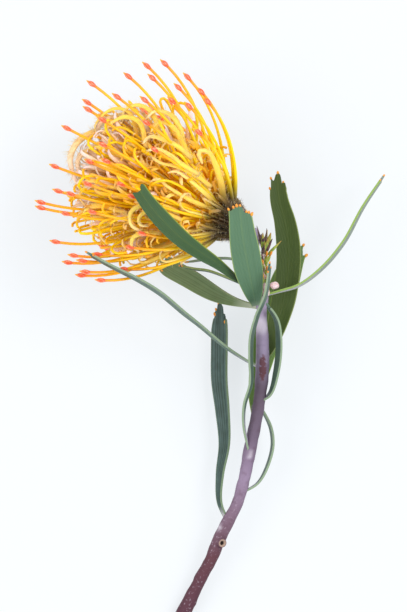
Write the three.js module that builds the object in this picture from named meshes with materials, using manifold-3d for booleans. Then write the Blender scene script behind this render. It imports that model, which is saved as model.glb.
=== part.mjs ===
// A cut tree pincushion flower (Leucospermum) lying on a flat surface, seen from above.
// Millimetres. X runs right, Y runs up along the shoot towards the flower, Z is up. The surface is z = 0 and
// the origin is the middle of the flower's own outline on that surface.
import * as THREE from 'three';
import { mergeVertices } from 'three/addons/utils/BufferGeometryUtils.js';
import Module from 'manifold-3d';

const wasm = await Module();
wasm.setup();

// Driving dimensions

const GAP = 0.3;                       // clear space left between pieces that touch
const LEAF_THICKNESS = 0.9;
const GLAND_RADIUS = 0.75;

const HEAD_BASE = [11.2, 50, 38];      // where the head's axis leaves the cup
const HEAD_TURN = 65;                  // degrees that the head's axis turns left of the Y direction
const DOME_RADIUS = 45.5;              // reach of the widest style tips from the axis
const DOME_MIDDLE = 46;                // height of the widest tips along the axis
const DOME_RISE = 33;                  // from there to the crown's tips
const NEAR_SQUEEZE = 0.84;             // the head is flatter towards the viewer, where a leaf lies on it
const FAR_SQUEEZE = 0.97;              // and towards the surface, which it lies on
const STYLE_RADIUS = 0.66;
const LEAVE_SHARE = 0.4;               // how long a style holds its first direction, as a share of its span
const ARRIVE_SHARE = 0.3;              // and its last
const PRESENTER_RADIUS = 1.3;
const PRESENTER_LENGTH = 4.6;
const EDGE_SPREAD = 9;                 // how far above or below the axis the outline's own tips stand
const PARTNER_SHIFT = 2.4;             // most that a tip's partner underneath is moved sideways
const PARTNER_PULL = 0.7;              // how far out a partner stands, as a share of its tip's own place
const PARTNER_CENTRE = 30;             // and the height along the axis that it is pulled towards
const FAN_FOOT = 10;                   // the height that the fan of tips is measured from
const FAN_SPREAD = 60;                 // how far from the axis, in degrees, its lowest florets lean
const ROOT_RADIUS = 8;                 // the ring of style roots next to the cup
const ROOT_START = 5.2;                // and its height along the axis
const CROWN_ROOT_RADIUS = 3;           // the same two for the roots at the crown
const ROOT_END = 42;
const LOOPED_FLORETS = 24;
const CROWN_REACH = 59;                // from the dome's foot to the top of an unopened floret on the axis
const SHOULDER_REACH = 37;             // and of one on the crown's shoulder
const LOOP_SIZE = 3;
const RIBBON_WIDTH = 2.0;
const RIBBON_THICKNESS = 0.9;
const RIBBON_OFFSET = 1.7;             // from its style's middle to the ribbon's
const RIBBON_CURL = 2;                 // radius of the curl at its end
const REST_CLEARANCE = 0.45;           // lowest a style's middle comes to the surface, so it lies on a flat
const LEAF_CLEARANCE = 1.9;            // from a front leaf's underside to the style middles beneath it
const CUP_DEPTH = 5;
const BRACTS = 20;
const PITH_RADIUS = 0.6;
const PITH_DEPTH = 0.9;

const GOLDEN_ANGLE = Math.PI * (3 - Math.sqrt(5));
const UP = new THREE.Vector3(0, 0, 1);

// Style tips that show in the outline or stand out in front, as [across, along] from the head's base
const TIPS_SEEN = [
  [46.5, 56], [42.5, 62], [39, 58], [35.5, 67], [26.5, 79], [26, 67.5], [19, 77.5], [16.5, 76], [15, 69],
  [6, 80.5], [-10, 78.5], [-18.5, 73], [-17.5, 68], [-25.5, 77.5], [-27.5, 76.5], [-25.5, 66.5],
  [-37.5, 65.5], [-39.5, 56.5], [-35, 48], [-43, 57.5], [-40, 52.5], [-45.5, 50.5], [-43.5, 49.5],
  [-44, 42.5], [-36, 36], [45.5, 45.5], [42.5, 38], [40, 47], [35, 40], [34, 47], [29.5, 57], [40, 34],
  [21.5, 52.5], [27, 32], [6, 64.5], [-2.5, 66.5], [0.5, 60.5], [-11, 63.5], [-5.5, 51.5], [-8, 45.5],
  [-20.5, 57], [-27, 37.5], [-20, 35.5], [13, 45],
];

// The woody shoot from its cut end to the young tip: x, y, z, radius
const STEM_ROUTE = [
  [-15.4, -115, 3.0, 2.9], [-10.3, -104.8, 4.6, 2.9], [-4, -92, 7, 2.5], [0.4, -84, 8.7, 2.4],
  [3.6, -76, 10.5, 2.6], [8, -67.2, 12.5, 2.5], [10.7, -62, 13.8, 2.3], [13.6, -52, 16.2, 2.3],
  [15.8, -40.8, 18.8, 2.6], [18.4, -28, 21.8, 2.4], [20, -18, 24, 2.4], [20.9, -8, 26.3, 2.8],
  [21, 0, 28.2, 2.6], [20.8, 8, 30.2, 2.4], [20.8, 16, 32.3, 1.9], [21.8, 21.2, 33.7, 1.5],
  [22.4, 28, 35.2, 1.25], [22.2, 32, 36, 1.2],
];
const PEDUNCLE_ROUTE = [
  [20.8, 14, 31.8, 1.7], [19.4, 22, 33.9, 2.2], [17.6, 31, 35.6, 2.2], [17.3, 39, 37, 2.2],
  [17.5, 44.6, 37.8, 2.3], [16.1, 47.7, 38, 2.6],
];
const STUB_ROUTE = [[3.6, -76.8, 10.6, 1.7], [4.4, -77.1, 12.4, 1.9], [5, -77.4, 13.6, 1.6]];

// Each leaf: its midrib from the stem to the tip, its width at the base and at its widest, the shares of its
// length where it is full and where it narrows again, its width at the tip as a share, its turn about the
// midrib in degrees (0 lies flat, 90 stands on edge), the fold of its two halves and, where its end differs
// from the usual one, its own teeth
const LEAVES = {
  leaf_front: {
    route: [
      [18.2, 18, 34.5], [17.6, 21.6, 40], [16, 29, 46.4], [14.4, 37, 51.4], [12.8, 46.6, 56.4],
      [11.8, 56.4, 60],
    ],
    base: 3.4, width: 11.6, full: 0.54, narrow: 0.62, apex: 0.78, turn: 0, fold: 0.1,
    teeth: [0.4, -0.5, 1, -1.8, -2.4],
  },
  leaf_over_head: {
    route: [
      [20.4, 20, 32.6], [14.6, 25.2, 37.4], [9, 29.6, 44], [2.8, 34.4, 51.2], [-4, 38.8, 57.8],
      [-11.2, 44, 63.6], [-18, 50.4, 68.4], [-24, 57.2, 72.4], [-28.4, 63.6, 75.4],
    ],
    base: 0.4, width: 9.2, full: 0.74, narrow: 0.76, apex: 0.8, turn: -42, fold: 0.12,
    teeth: [0.9, -0.5, -1, -0.4, 0.6],
  },
  leaf_under_head: {
    route: [
      [19, 17.2, 31], [10, 19.3, 27], [2, 22.6, 20], [-8, 28.5, 12.4], [-17, 33.6, 7.4], [-20, 36, 6.4],
    ],
    base: 1.6, width: 8.2, full: 0.6, narrow: 0.75, apex: 0.7, turn: 20, fold: 0.1,
  },
  leaf_sliver_upper: {
    route: [[20.6, 23, 32.6], [11.2, 27.2, 28], [0, 31.6, 22.4], [-6.4, 32.6, 18.6], [-11.6, 33.6, 16]],
    base: 1.8, width: 5, full: 0.6, narrow: 0.66, apex: 0.6, turn: 85, fold: 0.06,
  },
  leaf_sliver_lower: {
    route: [
      [20.4, 29, 33.6], [15.5, 34, 29], [9.2, 36.4, 26], [3.6, 36.8, 23], [-4, 36, 18.6], [-9.2, 35.2, 15.8],
    ],
    base: 1.8, width: 5, full: 0.6, narrow: 0.66, apex: 0.6, turn: 86, fold: 0.06,
  },
  leaf_long_left: {
    route: [
      [20.6, -7.2, 25], [14.4, -4, 24], [6, 1.6, 24.6], [-4, 10, 29], [-10, 14.8, 33.4], [-19.6, 22.8, 42],
      [-27.6, 27.8, 47], [-40, 34, 52], [-48.4, 38.6, 54.8],
    ],
    base: 1.8, width: 7, full: 0.6, narrow: 0.66, apex: 0.6, turn: 78, fold: 0.1,
  },
  leaf_crossing: {
    route: [
      [15.4, -40, 20.4], [13.4, -30, 25.4], [13.6, -22, 28.6], [16.1, -13, 31], [15.9, -3.6, 33.4],
      [16.2, 5, 36.6], [18.4, 13.6, 41.6], [22, 22.6, 47.6], [23.6, 34, 50.4],
    ],
    base: 2, width: 6.6, full: 0.6, narrow: 0.66, apex: 0.6, turn: -78, fold: 0.12,
  },
  leaf_right_broad: {
    route: [
      [21, -5, 26.2], [23.3, -0.4, 25.6], [25.6, 6, 25], [28.2, 15.2, 24.8], [30.2, 24, 24.8],
      [31.4, 34, 25], [31.3, 42, 25.4], [30, 51.2, 25.4], [27.7, 60, 25.2], [26.9, 69.4, 25],
    ],
    base: 1.8, width: 9.8, full: 0.42, narrow: 0.62, apex: 0.68, turn: 10, fold: 0.12,
    teeth: [-5.4, -1.4, 1.4, -0.2, -3.2],
  },
  leaf_right_back: {
    route: [
      [17.8, -28, 20.2], [17.6, -19, 18.6], [19.6, -9, 17.2], [21.8, 2, 15.4], [24.4, 12, 12.8],
      [28, 21.6, 9.2], [31.6, 31.2, 5], [35.5, 40.2, 1.6],
    ],
    base: 1.8, width: 11.4, full: 0.5, narrow: 0.78, apex: 0.66, turn: 0, fold: 0.04,
    teeth: [-3.4, -2.2, 1.4, -1.8, -1.2],
  },
  leaf_right_long: {
    route: [
      [22, 22, 34.6], [28, 23.6, 35.6], [35.6, 26.1, 35.4], [44.8, 33.1, 32.4], [53.2, 43.1, 28],
      [61.1, 57.2, 22], [69.2, 69.2, 16.6],
    ],
    base: 1.8, width: 6, full: 0.6, narrow: 0.66, apex: 0.6, turn: -79, fold: 0.08,
  },
  leaf_bow: {
    route: [
      [20, -20.6, 23.4], [24, -17.6, 25.4], [26.7, -8.8, 27.8], [27.8, 2, 30.8], [26.8, 11.6, 34.2],
      [22.8, 18.2, 38.8],
    ],
    base: 1.8, width: 6, full: 0.5, narrow: 0.6, apex: 0.5, turn: 70, fold: 0.1,
  },
  leaf_hanging: {
    route: [
      [6.8, -68.2, 12.3], [4, -61, 11.4], [4.3, -50, 10.6], [6.3, -37.6, 10], [5.7, -24, 9.4],
      [4.6, -12, 9], [4.6, 0, 8.4], [4.7, 10, 7.9], [4.7, 17.2, 7.6],
    ],
    base: 1.6, width: 9, full: 0.7, narrow: 0.82, apex: 0.66, turn: 46, fold: 0.3,
    teeth: [-2.8, 1.2, 0.6, -2.8, -5.4],
  },
  leaf_lower_right: {
    route: [
      [13.4, -57, 15], [19, -53.6, 14.4], [22.5, -48.2, 13.4], [25.3, -38.6, 12.4], [24.5, -31, 11.6],
      [21.4, -24.6, 10.8], [17.4, -18, 10.2],
    ],
    base: 1.8, width: 5.6, full: 0.5, narrow: 0.6, apex: 0.55, turn: 81, fold: 0.1,
  },
};

// Young leaves and bracts of the shoot's tip: root, tip, width and turn
const TIP_LEAVES = [
  { root: [21.6, 38, 41], tip: [24.2, 46.8, 42.4], width: 2.8, turn: 20 },
  { root: [21.4, 38.4, 41], tip: [21, 46.8, 42.4], width: 2.4, turn: -10 },
  { root: [21.4, 38, 40.8], tip: [22.8, 48, 40.4], width: 2.4, turn: 0 },
  { root: [21.8, 37, 40.8], tip: [28.4, 43.6, 42], width: 1.8, turn: 40 },
  { root: [21.2, 38.4, 41], tip: [18.6, 49.6, 41], width: 1.9, turn: -30 },
  { root: [21, 37.4, 41.4], tip: [24.8, 44.4, 45], width: 2, turn: 40 },
  { root: [21.8, 32, 39.4], tip: [22.6, 38.8, 44], width: 2.4, turn: 0 },
  { root: [22, 29, 38.2], tip: [22.6, 32.6, 42.4], width: 2.2, turn: 10 },
];
const SHOOT_AXIS = [[22.4, 28.6, 37.4], [21.9, 32.6, 39.4], [21.5, 36, 41], [21.3, 39.4, 41.8]];
const SHOOT_RADII = [1.6, 1.45, 1.25, 0.7];
const BUD_MIDDLE = [25.7, 25.8, 36];
const BUD_SIZE = [1.8, 1.55, 1.5];

// Small seeded generator, so that every build gives the same flower
function generator(seed) {
  let state = seed;
  return () => {
    state = (state * 1664525 + 1013904223) % 4294967296;
    return state / 4294967296;
  };
}

const radians = THREE.MathUtils.degToRad;
const mix = THREE.MathUtils.lerp;
const smooth = THREE.MathUtils.smoothstep;
const vector = (point) => new THREE.Vector3(point[0], point[1], point[2]);

// Solids and booleans

function solidOf(geometry) {
  const bare = geometry.clone();
  bare.deleteAttribute('normal');
  bare.deleteAttribute('uv');
  const merged = mergeVertices(bare, 1e-4);
  const vertProperties = new Float32Array(merged.attributes.position.array);
  const triVerts = new Uint32Array(merged.index.array);
  return new wasm.Manifold(new wasm.Mesh({ numProp: 3, vertProperties, triVerts }));
}

function geometryOf(solid) {
  const mesh = solid.getMesh();
  const geometry = new THREE.BufferGeometry();
  geometry.setAttribute('position', new THREE.BufferAttribute(mesh.vertProperties, 3));
  geometry.setIndex(new THREE.BufferAttribute(mesh.triVerts, 1));
  return geometry;
}

// The one largest body: loose scraps and sealed hollows go
function wholeBody(solid) {
  const bodies = solid.decompose();
  return bodies.reduce((best, body) => (body.volume() > best.volume() ? body : best));
}

const joined = (solids) => solids.reduce((sum, solid) => sum.add(solid));

// Directions along a chain of points, each with an even side direction carried along it
function framesAlong(points, side) {
  let across = side.clone();
  return points.map((point, i) => {
    const before = points[Math.max(i - 1, 0)];
    const after = points[Math.min(i + 1, points.length - 1)];
    const ahead = after.clone().sub(before).normalize();
    across = across.clone().addScaledVector(ahead, -across.dot(ahead)).normalize();
    return { point, ahead, across, other: ahead.clone().cross(across) };
  });
}

// A rod along the points, made of a cylinder whose rows of vertices move onto them
function rod(points, radii, sides, flatness = 1, side = UP) {
  const geometry = new THREE.CylinderGeometry(1, 1, 1, sides, points.length - 1);
  const frames = framesAlong(points, side);
  const position = geometry.attributes.position;
  for (let i = 0; i < position.count; i++) {
    const row = Math.round((0.5 - position.getY(i)) * (points.length - 1));
    const { point, across, other } = frames[row];
    const moved = point.clone()
      .addScaledVector(across, position.getX(i) * radii[row])
      .addScaledVector(other, position.getZ(i) * radii[row] * flatness);
    position.setXYZ(i, moved.x, moved.y, moved.z);
  }
  return geometry;
}

function routeRod(route, steps, sides, grow = 0) {
  const middle = new THREE.CatmullRomCurve3(route.map(vector));
  const last = route.length - 1;
  const points = [];
  const radii = [];
  for (let i = 0; i <= steps; i++) {
    const place = (i / steps) * last;
    const k = Math.min(Math.floor(place), last - 1);
    points.push(middle.getPoint(i / steps));
    radii.push(mix(route[k][3], route[k + 1][3], place - k) + grow);
  }
  return rod(points, radii, sides, 1, new THREE.Vector3(1, 0, 0));
}

// Stem

const STEM_STEPS = 28;
const STEM_SIDES = 8;

function stemSolid(grow = 0, frame = new THREE.Matrix4()) {
  const rods = [
    routeRod(STEM_ROUTE, STEM_STEPS, STEM_SIDES, grow),
    routeRod(PEDUNCLE_ROUTE, 7, STEM_SIDES, grow),
    routeRod(STUB_ROUTE, 2, 8, grow),
  ];
  return joined(rods.map((geometry) => solidOf(geometry.applyMatrix4(frame))));
}

// The dark hole in the middle of the cut stub
function pithHole() {
  const end = vector(STUB_ROUTE[2]);
  const inward = vector(STUB_ROUTE[1]).sub(end).normalize();
  const start = end.clone().addScaledVector(inward, -PITH_RADIUS);
  const bottom = end.clone().addScaledVector(inward, PITH_DEPTH);
  return solidOf(rod([start, bottom], [PITH_RADIUS, 0.75 * PITH_RADIUS], 6));
}

// Leaves

const LEAF_COLUMNS = 4;
const LEAF_ROWS = 9;
// How far each column of a leaf's end runs past its last row: teeth at the sides and middle, notches between
const TEETH = [-3.4, -2.4, 1.2, -2.4, -2.2];

const leafTeeth = (leaf) => leaf.teeth ?? TEETH;

function leafHalfWidth({ base, width, full, narrow, apex }, share) {
  const swell = mix(base, width, smooth(share, -0.04, full));
  return swell * mix(1, apex, smooth(share, narrow, 1)) / 2;
}

// A closed plate: one grid as the upper face, the same grid wound the other way as the lower, and a rim
function plate(rows, columns, place) {
  const grid = new THREE.PlaneGeometry(2, 1, columns, rows);
  const count = grid.attributes.position.count;
  const positions = [];
  for (const layer of [1, -1]) {
    for (let i = 0; i < count; i++) {
      const row = rows - Math.floor(i / (columns + 1));
      const column = i % (columns + 1);
      positions.push(...place(row / rows, column, layer).toArray());
    }
  }
  const upper = Array.from(grid.index.array);
  const lower = [];
  for (let i = 0; i < upper.length; i += 3) {
    lower.push(upper[i] + count, upper[i + 2] + count, upper[i + 1] + count);
  }
  const rim = [];
  for (let column = 0; column < columns; column++) rim.push(column);
  for (let row = 0; row < rows; row++) rim.push(row * (columns + 1) + columns);
  for (let column = columns; column > 0; column--) rim.push(rows * (columns + 1) + column);
  for (let row = rows; row > 0; row--) rim.push(row * (columns + 1));
  const wall = [];
  rim.forEach((a, i) => {
    const b = rim[(i + 1) % rim.length];
    wall.push(a, b, b + count, a, b + count, a + count);
  });
  const geometry = new THREE.BufferGeometry();
  geometry.setAttribute('position', new THREE.Float32BufferAttribute(positions, 3));
  geometry.setIndex([...upper, ...lower, ...wall]);
  return geometry;
}

// The midrib's place, its direction and the blade's side and face directions at a share of its length
function leafFrame(leaf, midrib, share) {
  const ahead = midrib.getTangent(share);
  const level = ahead.clone().cross(UP).normalize();
  const rise = level.clone().cross(ahead);
  const turn = radians(leaf.turn);
  const across = level.clone().multiplyScalar(Math.cos(turn)).addScaledVector(rise, Math.sin(turn));
  const face = rise.clone().multiplyScalar(Math.cos(turn)).addScaledVector(level, -Math.sin(turn));
  return { point: midrib.getPoint(share), ahead, across, face };
}

// A place on the blade's middle surface: side runs from -1 at one edge to 1 at the other
function leafPoint(leaf, midrib, share, side, lift, past) {
  const { point, ahead, across, face } = leafFrame(leaf, midrib, share);
  const halfWidth = leafHalfWidth(leaf, share);
  return point.addScaledVector(across, side * halfWidth)
    .addScaledVector(face, lift + Math.abs(side) * leaf.fold * halfWidth)
    .addScaledVector(ahead, past * Math.min(1, leaf.width / 9));
}

function leafGeometry(leaf, rows = LEAF_ROWS, columns = LEAF_COLUMNS) {
  const midrib = new THREE.CatmullRomCurve3(leaf.route.map(vector));
  return plate(rows, columns, (share, column, layer) => {
    const past = share === 1 ? leafTeeth(leaf)[column * LEAF_COLUMNS / columns] : 0;
    return leafPoint(leaf, midrib, share, 2 * column / columns - 1, layer * LEAF_THICKNESS / 2, past);
  });
}

function leafGlands(leaf) {
  const midrib = new THREE.CatmullRomCurve3(leaf.route.map(vector));
  return [0, 2, 4].map((column) => {
    const tip = leafPoint(leaf, midrib, 1, column / 2 - 1, 0, leafTeeth(leaf)[column]);
    const geometry = new THREE.OctahedronGeometry(GLAND_RADIUS);
    geometry.translate(tip.x, tip.y, tip.z);
    return solidOf(geometry);
  });
}

function leafSolid(leaf, clearance) {
  const blade = joined([solidOf(leafGeometry(leaf)), ...leafGlands(leaf)]);
  return wholeBody(blade.subtract(clearance));
}

// Shoot tip

function tipLeafSolid({ root, tip, width, turn }) {
  const start = vector(root);
  const end = vector(tip);
  const belly = start.clone().lerp(end, 0.55).add(new THREE.Vector3(0, 0, 0.8));
  const route = [start.toArray(), belly.toArray(), end.toArray()];
  const leaf = { route, base: 2, width, full: 0.5, narrow: 0.5, apex: 0.4, turn, fold: 0.25 };
  return solidOf(leafGeometry(leaf, 3, 2));
}

function shootTipSolid(clearance) {
  const axis = rod(SHOOT_AXIS.map(vector), SHOOT_RADII, 6);
  const pieces = [solidOf(axis), ...TIP_LEAVES.map(tipLeafSolid)];
  return wholeBody(joined(pieces).subtract(clearance));
}

function budSolid(clearance) {
  const ball = new THREE.SphereGeometry(1, 9, 6);
  ball.scale(...BUD_SIZE);
  ball.translate(...BUD_MIDDLE);
  return wholeBody(solidOf(ball).subtract(clearance));
}

// Flower head. Its own frame: Y along the axis, X across, Z up

const head = new THREE.Group();
head.name = 'head';
head.position.set(...HEAD_BASE);
head.rotation.z = radians(HEAD_TURN);
head.updateMatrixWorld(true);
const intoHead = head.matrixWorld.clone().invert();

// The packed inside of the head, as [radius, along]
const CORE_PROFILE = [
  [0, 0], [6, 0], [8, 3], [13, 9], [18, 16], [21, 24], [22, 32], [21.4, 40], [18.6, 48], [13.6, 55],
  [7, 60], [0, 62],
];
const CORE_SIDES = 14;
const CORE_RIDGE = 0.07;               // how far every second place on it stands out, as a share

function coreSolid() {
  const outline = CORE_PROFILE.map(([radius, along]) => new THREE.Vector2(radius, along));
  const geometry = new THREE.LatheGeometry(outline, CORE_SIDES);
  const position = geometry.attributes.position;
  for (let i = 0; i < position.count; i++) {
    const ring = i % outline.length;
    const column = Math.floor(i / outline.length) % CORE_SIDES;
    const packed = ring > 2 && (ring + column) % 2 === 1 ? 1 + CORE_RIDGE : 1;
    position.setXYZ(i, position.getX(i) * packed, position.getY(i), position.getZ(i) * packed);
  }
  return solidOf(geometry);
}

// Leaves that lie over styles, each with how steeply the styles may stand up beside it
const LEAVES_OVER_STYLES = { leaf_front: 1, leaf_over_head: 1, leaf_long_left: 1.4 };

// Underside of those leaves, which the styles beneath bend clear of
function undersides() {
  const samples = [];
  const steps = 24;
  for (const [name, rise] of Object.entries(LEAVES_OVER_STYLES)) {
    const leaf = LEAVES[name];
    const turn = radians(leaf.turn);
    const midrib = new THREE.CatmullRomCurve3(leaf.route.map(vector));
    for (let i = 0; i <= steps; i++) {
      const share = i / steps;
      const halfWidth = leafHalfWidth(leaf, share);
      const point = midrib.getPoint(share).applyMatrix4(intoHead);
      const reach = halfWidth * Math.cos(turn) + 1;
      const low = point.z - halfWidth * Math.abs(Math.sin(turn)) - LEAF_THICKNESS / 2 - LEAF_CLEARANCE;
      samples.push({ x: point.x, y: point.y, reach, low, rise });
    }
  }
  return samples;
}
const CEILINGS = undersides();
const FLOOR = -HEAD_BASE[2];

// Moves a point of the head down out of the leaves' way and up off the surface
function settle(point) {
  let ceiling = Infinity;
  for (const { x, y, reach, low, rise } of CEILINGS) {
    const away = Math.hypot(point.x - x, point.y - y) - reach;
    ceiling = Math.min(ceiling, low + rise * Math.max(0, away));
  }
  point.z = Math.max(Math.min(point.z, ceiling), FLOOR + REST_CLEARANCE);
  return point;
}

function domeRadius(along) {
  const climb = Math.max(0, (along - DOME_MIDDLE) / DOME_RISE);
  return DOME_RADIUS * Math.sqrt(Math.max(0, 1 - climb * climb));
}

function heightOnDome(across, along, least) {
  const room = domeRadius(along) ** 2 - across ** 2;
  return Math.max(room > 0 ? Math.sqrt(room) : 0, least);
}

const squeezed = (height) => height * (height > 0 ? NEAR_SQUEEZE : FAR_SQUEEZE);

// Tips of the open florets: each one that is seen, and its partner on the side that faces the surface
function floretTips() {
  const random = generator(7);
  const tips = [];
  const add = (across, along, height) => {
    const leaning = Math.atan2(Math.hypot(across, height), along - FAN_FOOT);
    const share = Math.min(1, Math.max(0, 1 - leaning / radians(FAN_SPREAD)));
    tips.push({ across, along, height: squeezed(height), share });
  };
  for (const [across, along] of TIPS_SEEN) {
    const spread = EDGE_SPREAD * (0.3 + random());
    const shift = () => PARTNER_SHIFT * (random() - 0.5);
    add(across, along, heightOnDome(across, along, spread));
    const inAcross = across * PARTNER_PULL + shift();
    const inAlong = mix(PARTNER_CENTRE, along, PARTNER_PULL) + shift();
    add(inAcross, inAlong, -heightOnDome(inAcross, inAlong, spread));
  }
  return tips;
}

// Centre line of one style: it leaves the receptacle nearly square to it and curves in towards the tip
function styleCurve({ across, along, height, share }) {
  const azimuth = Math.atan2(height, across);
  const outward = new THREE.Vector3(Math.cos(azimuth), 0, Math.sin(azimuth));
  const lean = (degrees) => outward.clone().multiplyScalar(Math.sin(radians(degrees)))
    .add(new THREE.Vector3(0, Math.cos(radians(degrees)), 0));
  const root = outward.clone().multiplyScalar(mix(ROOT_RADIUS, CROWN_ROOT_RADIUS, share));
  root.setY(mix(ROOT_START, ROOT_END, share));
  const tip = new THREE.Vector3(across, along, height);
  const chord = root.distanceTo(tip);
  const leave = lean(mix(74, 0, share ** 1.4));
  const arrive = lean(mix(20, 0, share));
  return new THREE.CubicBezierCurve3(
    root,
    root.clone().addScaledVector(leave, chord * LEAVE_SHARE),
    tip.clone().addScaledVector(arrive, -chord * ARRIVE_SHARE),
    tip,
  );
}

const STYLE_STEPS = 5;

function styleSolid(tip) {
  const curve = styleCurve(tip);
  const length = curve.getLength();
  const neck = 1 - PRESENTER_LENGTH / length;
  const shares = [];
  const radii = [];
  for (let i = 0; i <= STYLE_STEPS; i++) {
    shares.push(neck * i / STYLE_STEPS);
    radii.push(STYLE_RADIUS);
  }
  shares.push(mix(neck, 1, 0.4), 1);
  radii.push(PRESENTER_RADIUS, 0.4);
  const points = shares.map((share) => settle(curve.getPointAt(share)));
  return solidOf(rod(points, radii, 3));
}

// A perianth lobe: a ribbon that follows its style part of the way, then curls back and outwards
function ribbonSolid(tip, random) {
  const curve = styleCurve(tip);
  const turnShare = 0.28 + 0.18 * random();
  const ahead = curve.getTangentAt(turnShare);
  const swing = random() * Math.PI * 2;
  const side = ahead.clone().cross(new THREE.Vector3(Math.cos(swing), 0.3, Math.sin(swing))).normalize();
  const outward = new THREE.Vector3(tip.across, 0, tip.height);
  if (tip.share < 0.6 && side.dot(outward) > 0) side.negate();
  const curlRadius = RIBBON_CURL + 0.8 * random();
  const beside = (share) => curve.getPointAt(share).addScaledVector(side, RIBBON_OFFSET);
  const points = [beside(0), beside(turnShare * 0.55), beside(turnShare)];
  const hub = points[2].clone().addScaledVector(side, curlRadius);
  for (const angle of [75, 150, 235]) {
    const a = radians(angle);
    points.push(hub.clone().addScaledVector(side, -Math.cos(a) * curlRadius)
      .addScaledVector(ahead, Math.sin(a) * curlRadius));
  }
  const radii = [1, 1, 1, 0.95, 0.85, 0.6].map((scale) => scale * RIBBON_WIDTH / 2);
  const width = ahead.clone().cross(side);
  return solidOf(rod(points.map(settle), radii, 3, RIBBON_THICKNESS / RIBBON_WIDTH, width));
}

// An unopened floret of the crown: its tube runs up and its style is bent in a loop above it
function loopedSolid(k, random) {
  const share = (k + 0.5) / LOOPED_FLORETS;
  const polar = radians(6 + 46 * Math.sqrt(share));
  const turn = k * GOLDEN_ANGLE + 1;
  const outward = new THREE.Vector3(Math.cos(turn), 0, Math.sin(turn) * NEAR_SQUEEZE);
  const axis = new THREE.Vector3(0, 1, 0);
  const lean = outward.clone().multiplyScalar(Math.sin(polar)).addScaledVector(axis, Math.cos(polar));
  const reach = mix(CROWN_REACH, SHOULDER_REACH, share) + 4 * random();
  const root = new THREE.Vector3(0, 16, 0).addScaledVector(lean, 12);
  const top = new THREE.Vector3(0, 6, 0).addScaledVector(lean, reach);
  const side = lean.clone().cross(axis).normalize().applyAxisAngle(lean, random() * Math.PI * 2);
  const loop = LOOP_SIZE + 1.6 * random();
  const points = [root, root.clone().lerp(top, 0.5).addScaledVector(side, 1), top];
  for (const angle of [50, 100, 150, 200]) {
    const a = radians(angle);
    points.push(top.clone().addScaledVector(side, (Math.cos(a) - 1) * loop)
      .addScaledVector(lean, Math.sin(a) * loop * 1.5));
  }
  return solidOf(rod(points.map(settle), [1.5, 1.3, 1.1, 0.8, 0.7, 0.7, 0.6], 3));
}

function flowerHeadSolid() {
  const random = generator(21);
  const tips = floretTips();
  const pieces = [coreSolid(), ...tips.map(styleSolid)];
  tips.forEach((tip, k) => {
    if (k % 2 === 0) pieces.push(ribbonSolid(tip, random));
  });
  for (let k = 0; k < LOOPED_FLORETS; k++) pieces.push(loopedSolid(k, random));
  const below = new THREE.BoxGeometry(300, 300, HEAD_BASE[2]);
  below.translate(0, 0, FLOOR - HEAD_BASE[2] / 2);
  return wholeBody(joined(pieces).subtract(solidOf(below)));
}

// Cup under the head with its pointed bracts in two whorls, as [radius, along] from root to point

const CUP_PROFILE = [[0, -CUP_DEPTH], [2.8, -CUP_DEPTH], [4.8, -3.2], [6, -GAP], [0, -GAP]];
const BRACT_WHORLS = [
  [[5, -3], [8.1, -0.9], [9.6, 1.6]],
  [[5.6, -1.6], [8.5, 0.2], [10.2, 2.4]],
];
const BRACT_RADII = [1.6, 1.7, 0.35];
const BRACT_FLATNESS = 0.45;

function involucreSolid() {
  const cup = new THREE.LatheGeometry(CUP_PROFILE.map(([radius, y]) => new THREE.Vector2(radius, y)), 14);
  const pieces = [solidOf(cup)];
  const axis = new THREE.Vector3(0, 1, 0);
  for (let k = 0; k < BRACTS; k++) {
    const turn = k * GOLDEN_ANGLE;
    const outward = new THREE.Vector3(Math.cos(turn), 0, Math.sin(turn));
    const points = BRACT_WHORLS[k % 2].map(([radius, along]) => (
      outward.clone().multiplyScalar(radius).addScaledVector(axis, along)
    ));
    const width = outward.clone().cross(axis);
    pieces.push(solidOf(rod(points, BRACT_RADII, 4, BRACT_FLATNESS, width)));
  }
  return wholeBody(joined(pieces).subtract(stemSolid(GAP, intoHead)));
}

// Scene

function material(color, roughness) {
  return new THREE.MeshStandardMaterial({ color, roughness, metalness: 0 });
}

function piece(name, solid, look) {
  const mesh = new THREE.Mesh(geometryOf(solid), look);
  mesh.name = name;
  return mesh;
}

const bark = material('#8a6a72', 0.75);
const leafGreen = material('#4f6f4c', 0.55);
const youngGreen = material('#6f7f4a', 0.6);
const golden = material('#f4a51c', 0.5);
const darkBract = material('#4a3a2c', 0.85);
const budPale = material('#d9c4c2', 0.7);

const flower = new THREE.Group();
flower.name = 'tree_pincushion';
const clearance = stemSolid(GAP);
flower.add(piece('stem', wholeBody(stemSolid().subtract(pithHole())), bark));
for (const [name, leaf] of Object.entries(LEAVES)) {
  flower.add(piece(name, leafSolid(leaf, clearance), leafGreen));
}
flower.add(piece('shoot_tip', shootTipSolid(clearance), youngGreen));
flower.add(piece('axillary_bud', budSolid(clearance), budPale));
head.add(piece('involucre', involucreSolid(), darkBract));
head.add(piece('flower_head', flowerHeadSolid(), golden));
flower.add(head);

export default flower;
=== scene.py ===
# %% [markdown]
# # A cut pincushion flower
#
# The real thing is one flowering shoot of a tree pincushion: a woody stem with leathery leaves, and a
# domed head of some hundred florets. Each floret sends out one wiry golden style with an orange tip. The
# shoot lies on a pale surface, and the camera looks straight down on it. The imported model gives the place
# of every part, and this lesson rebuilds each one with the finer shape and finish of a living plant.

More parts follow.
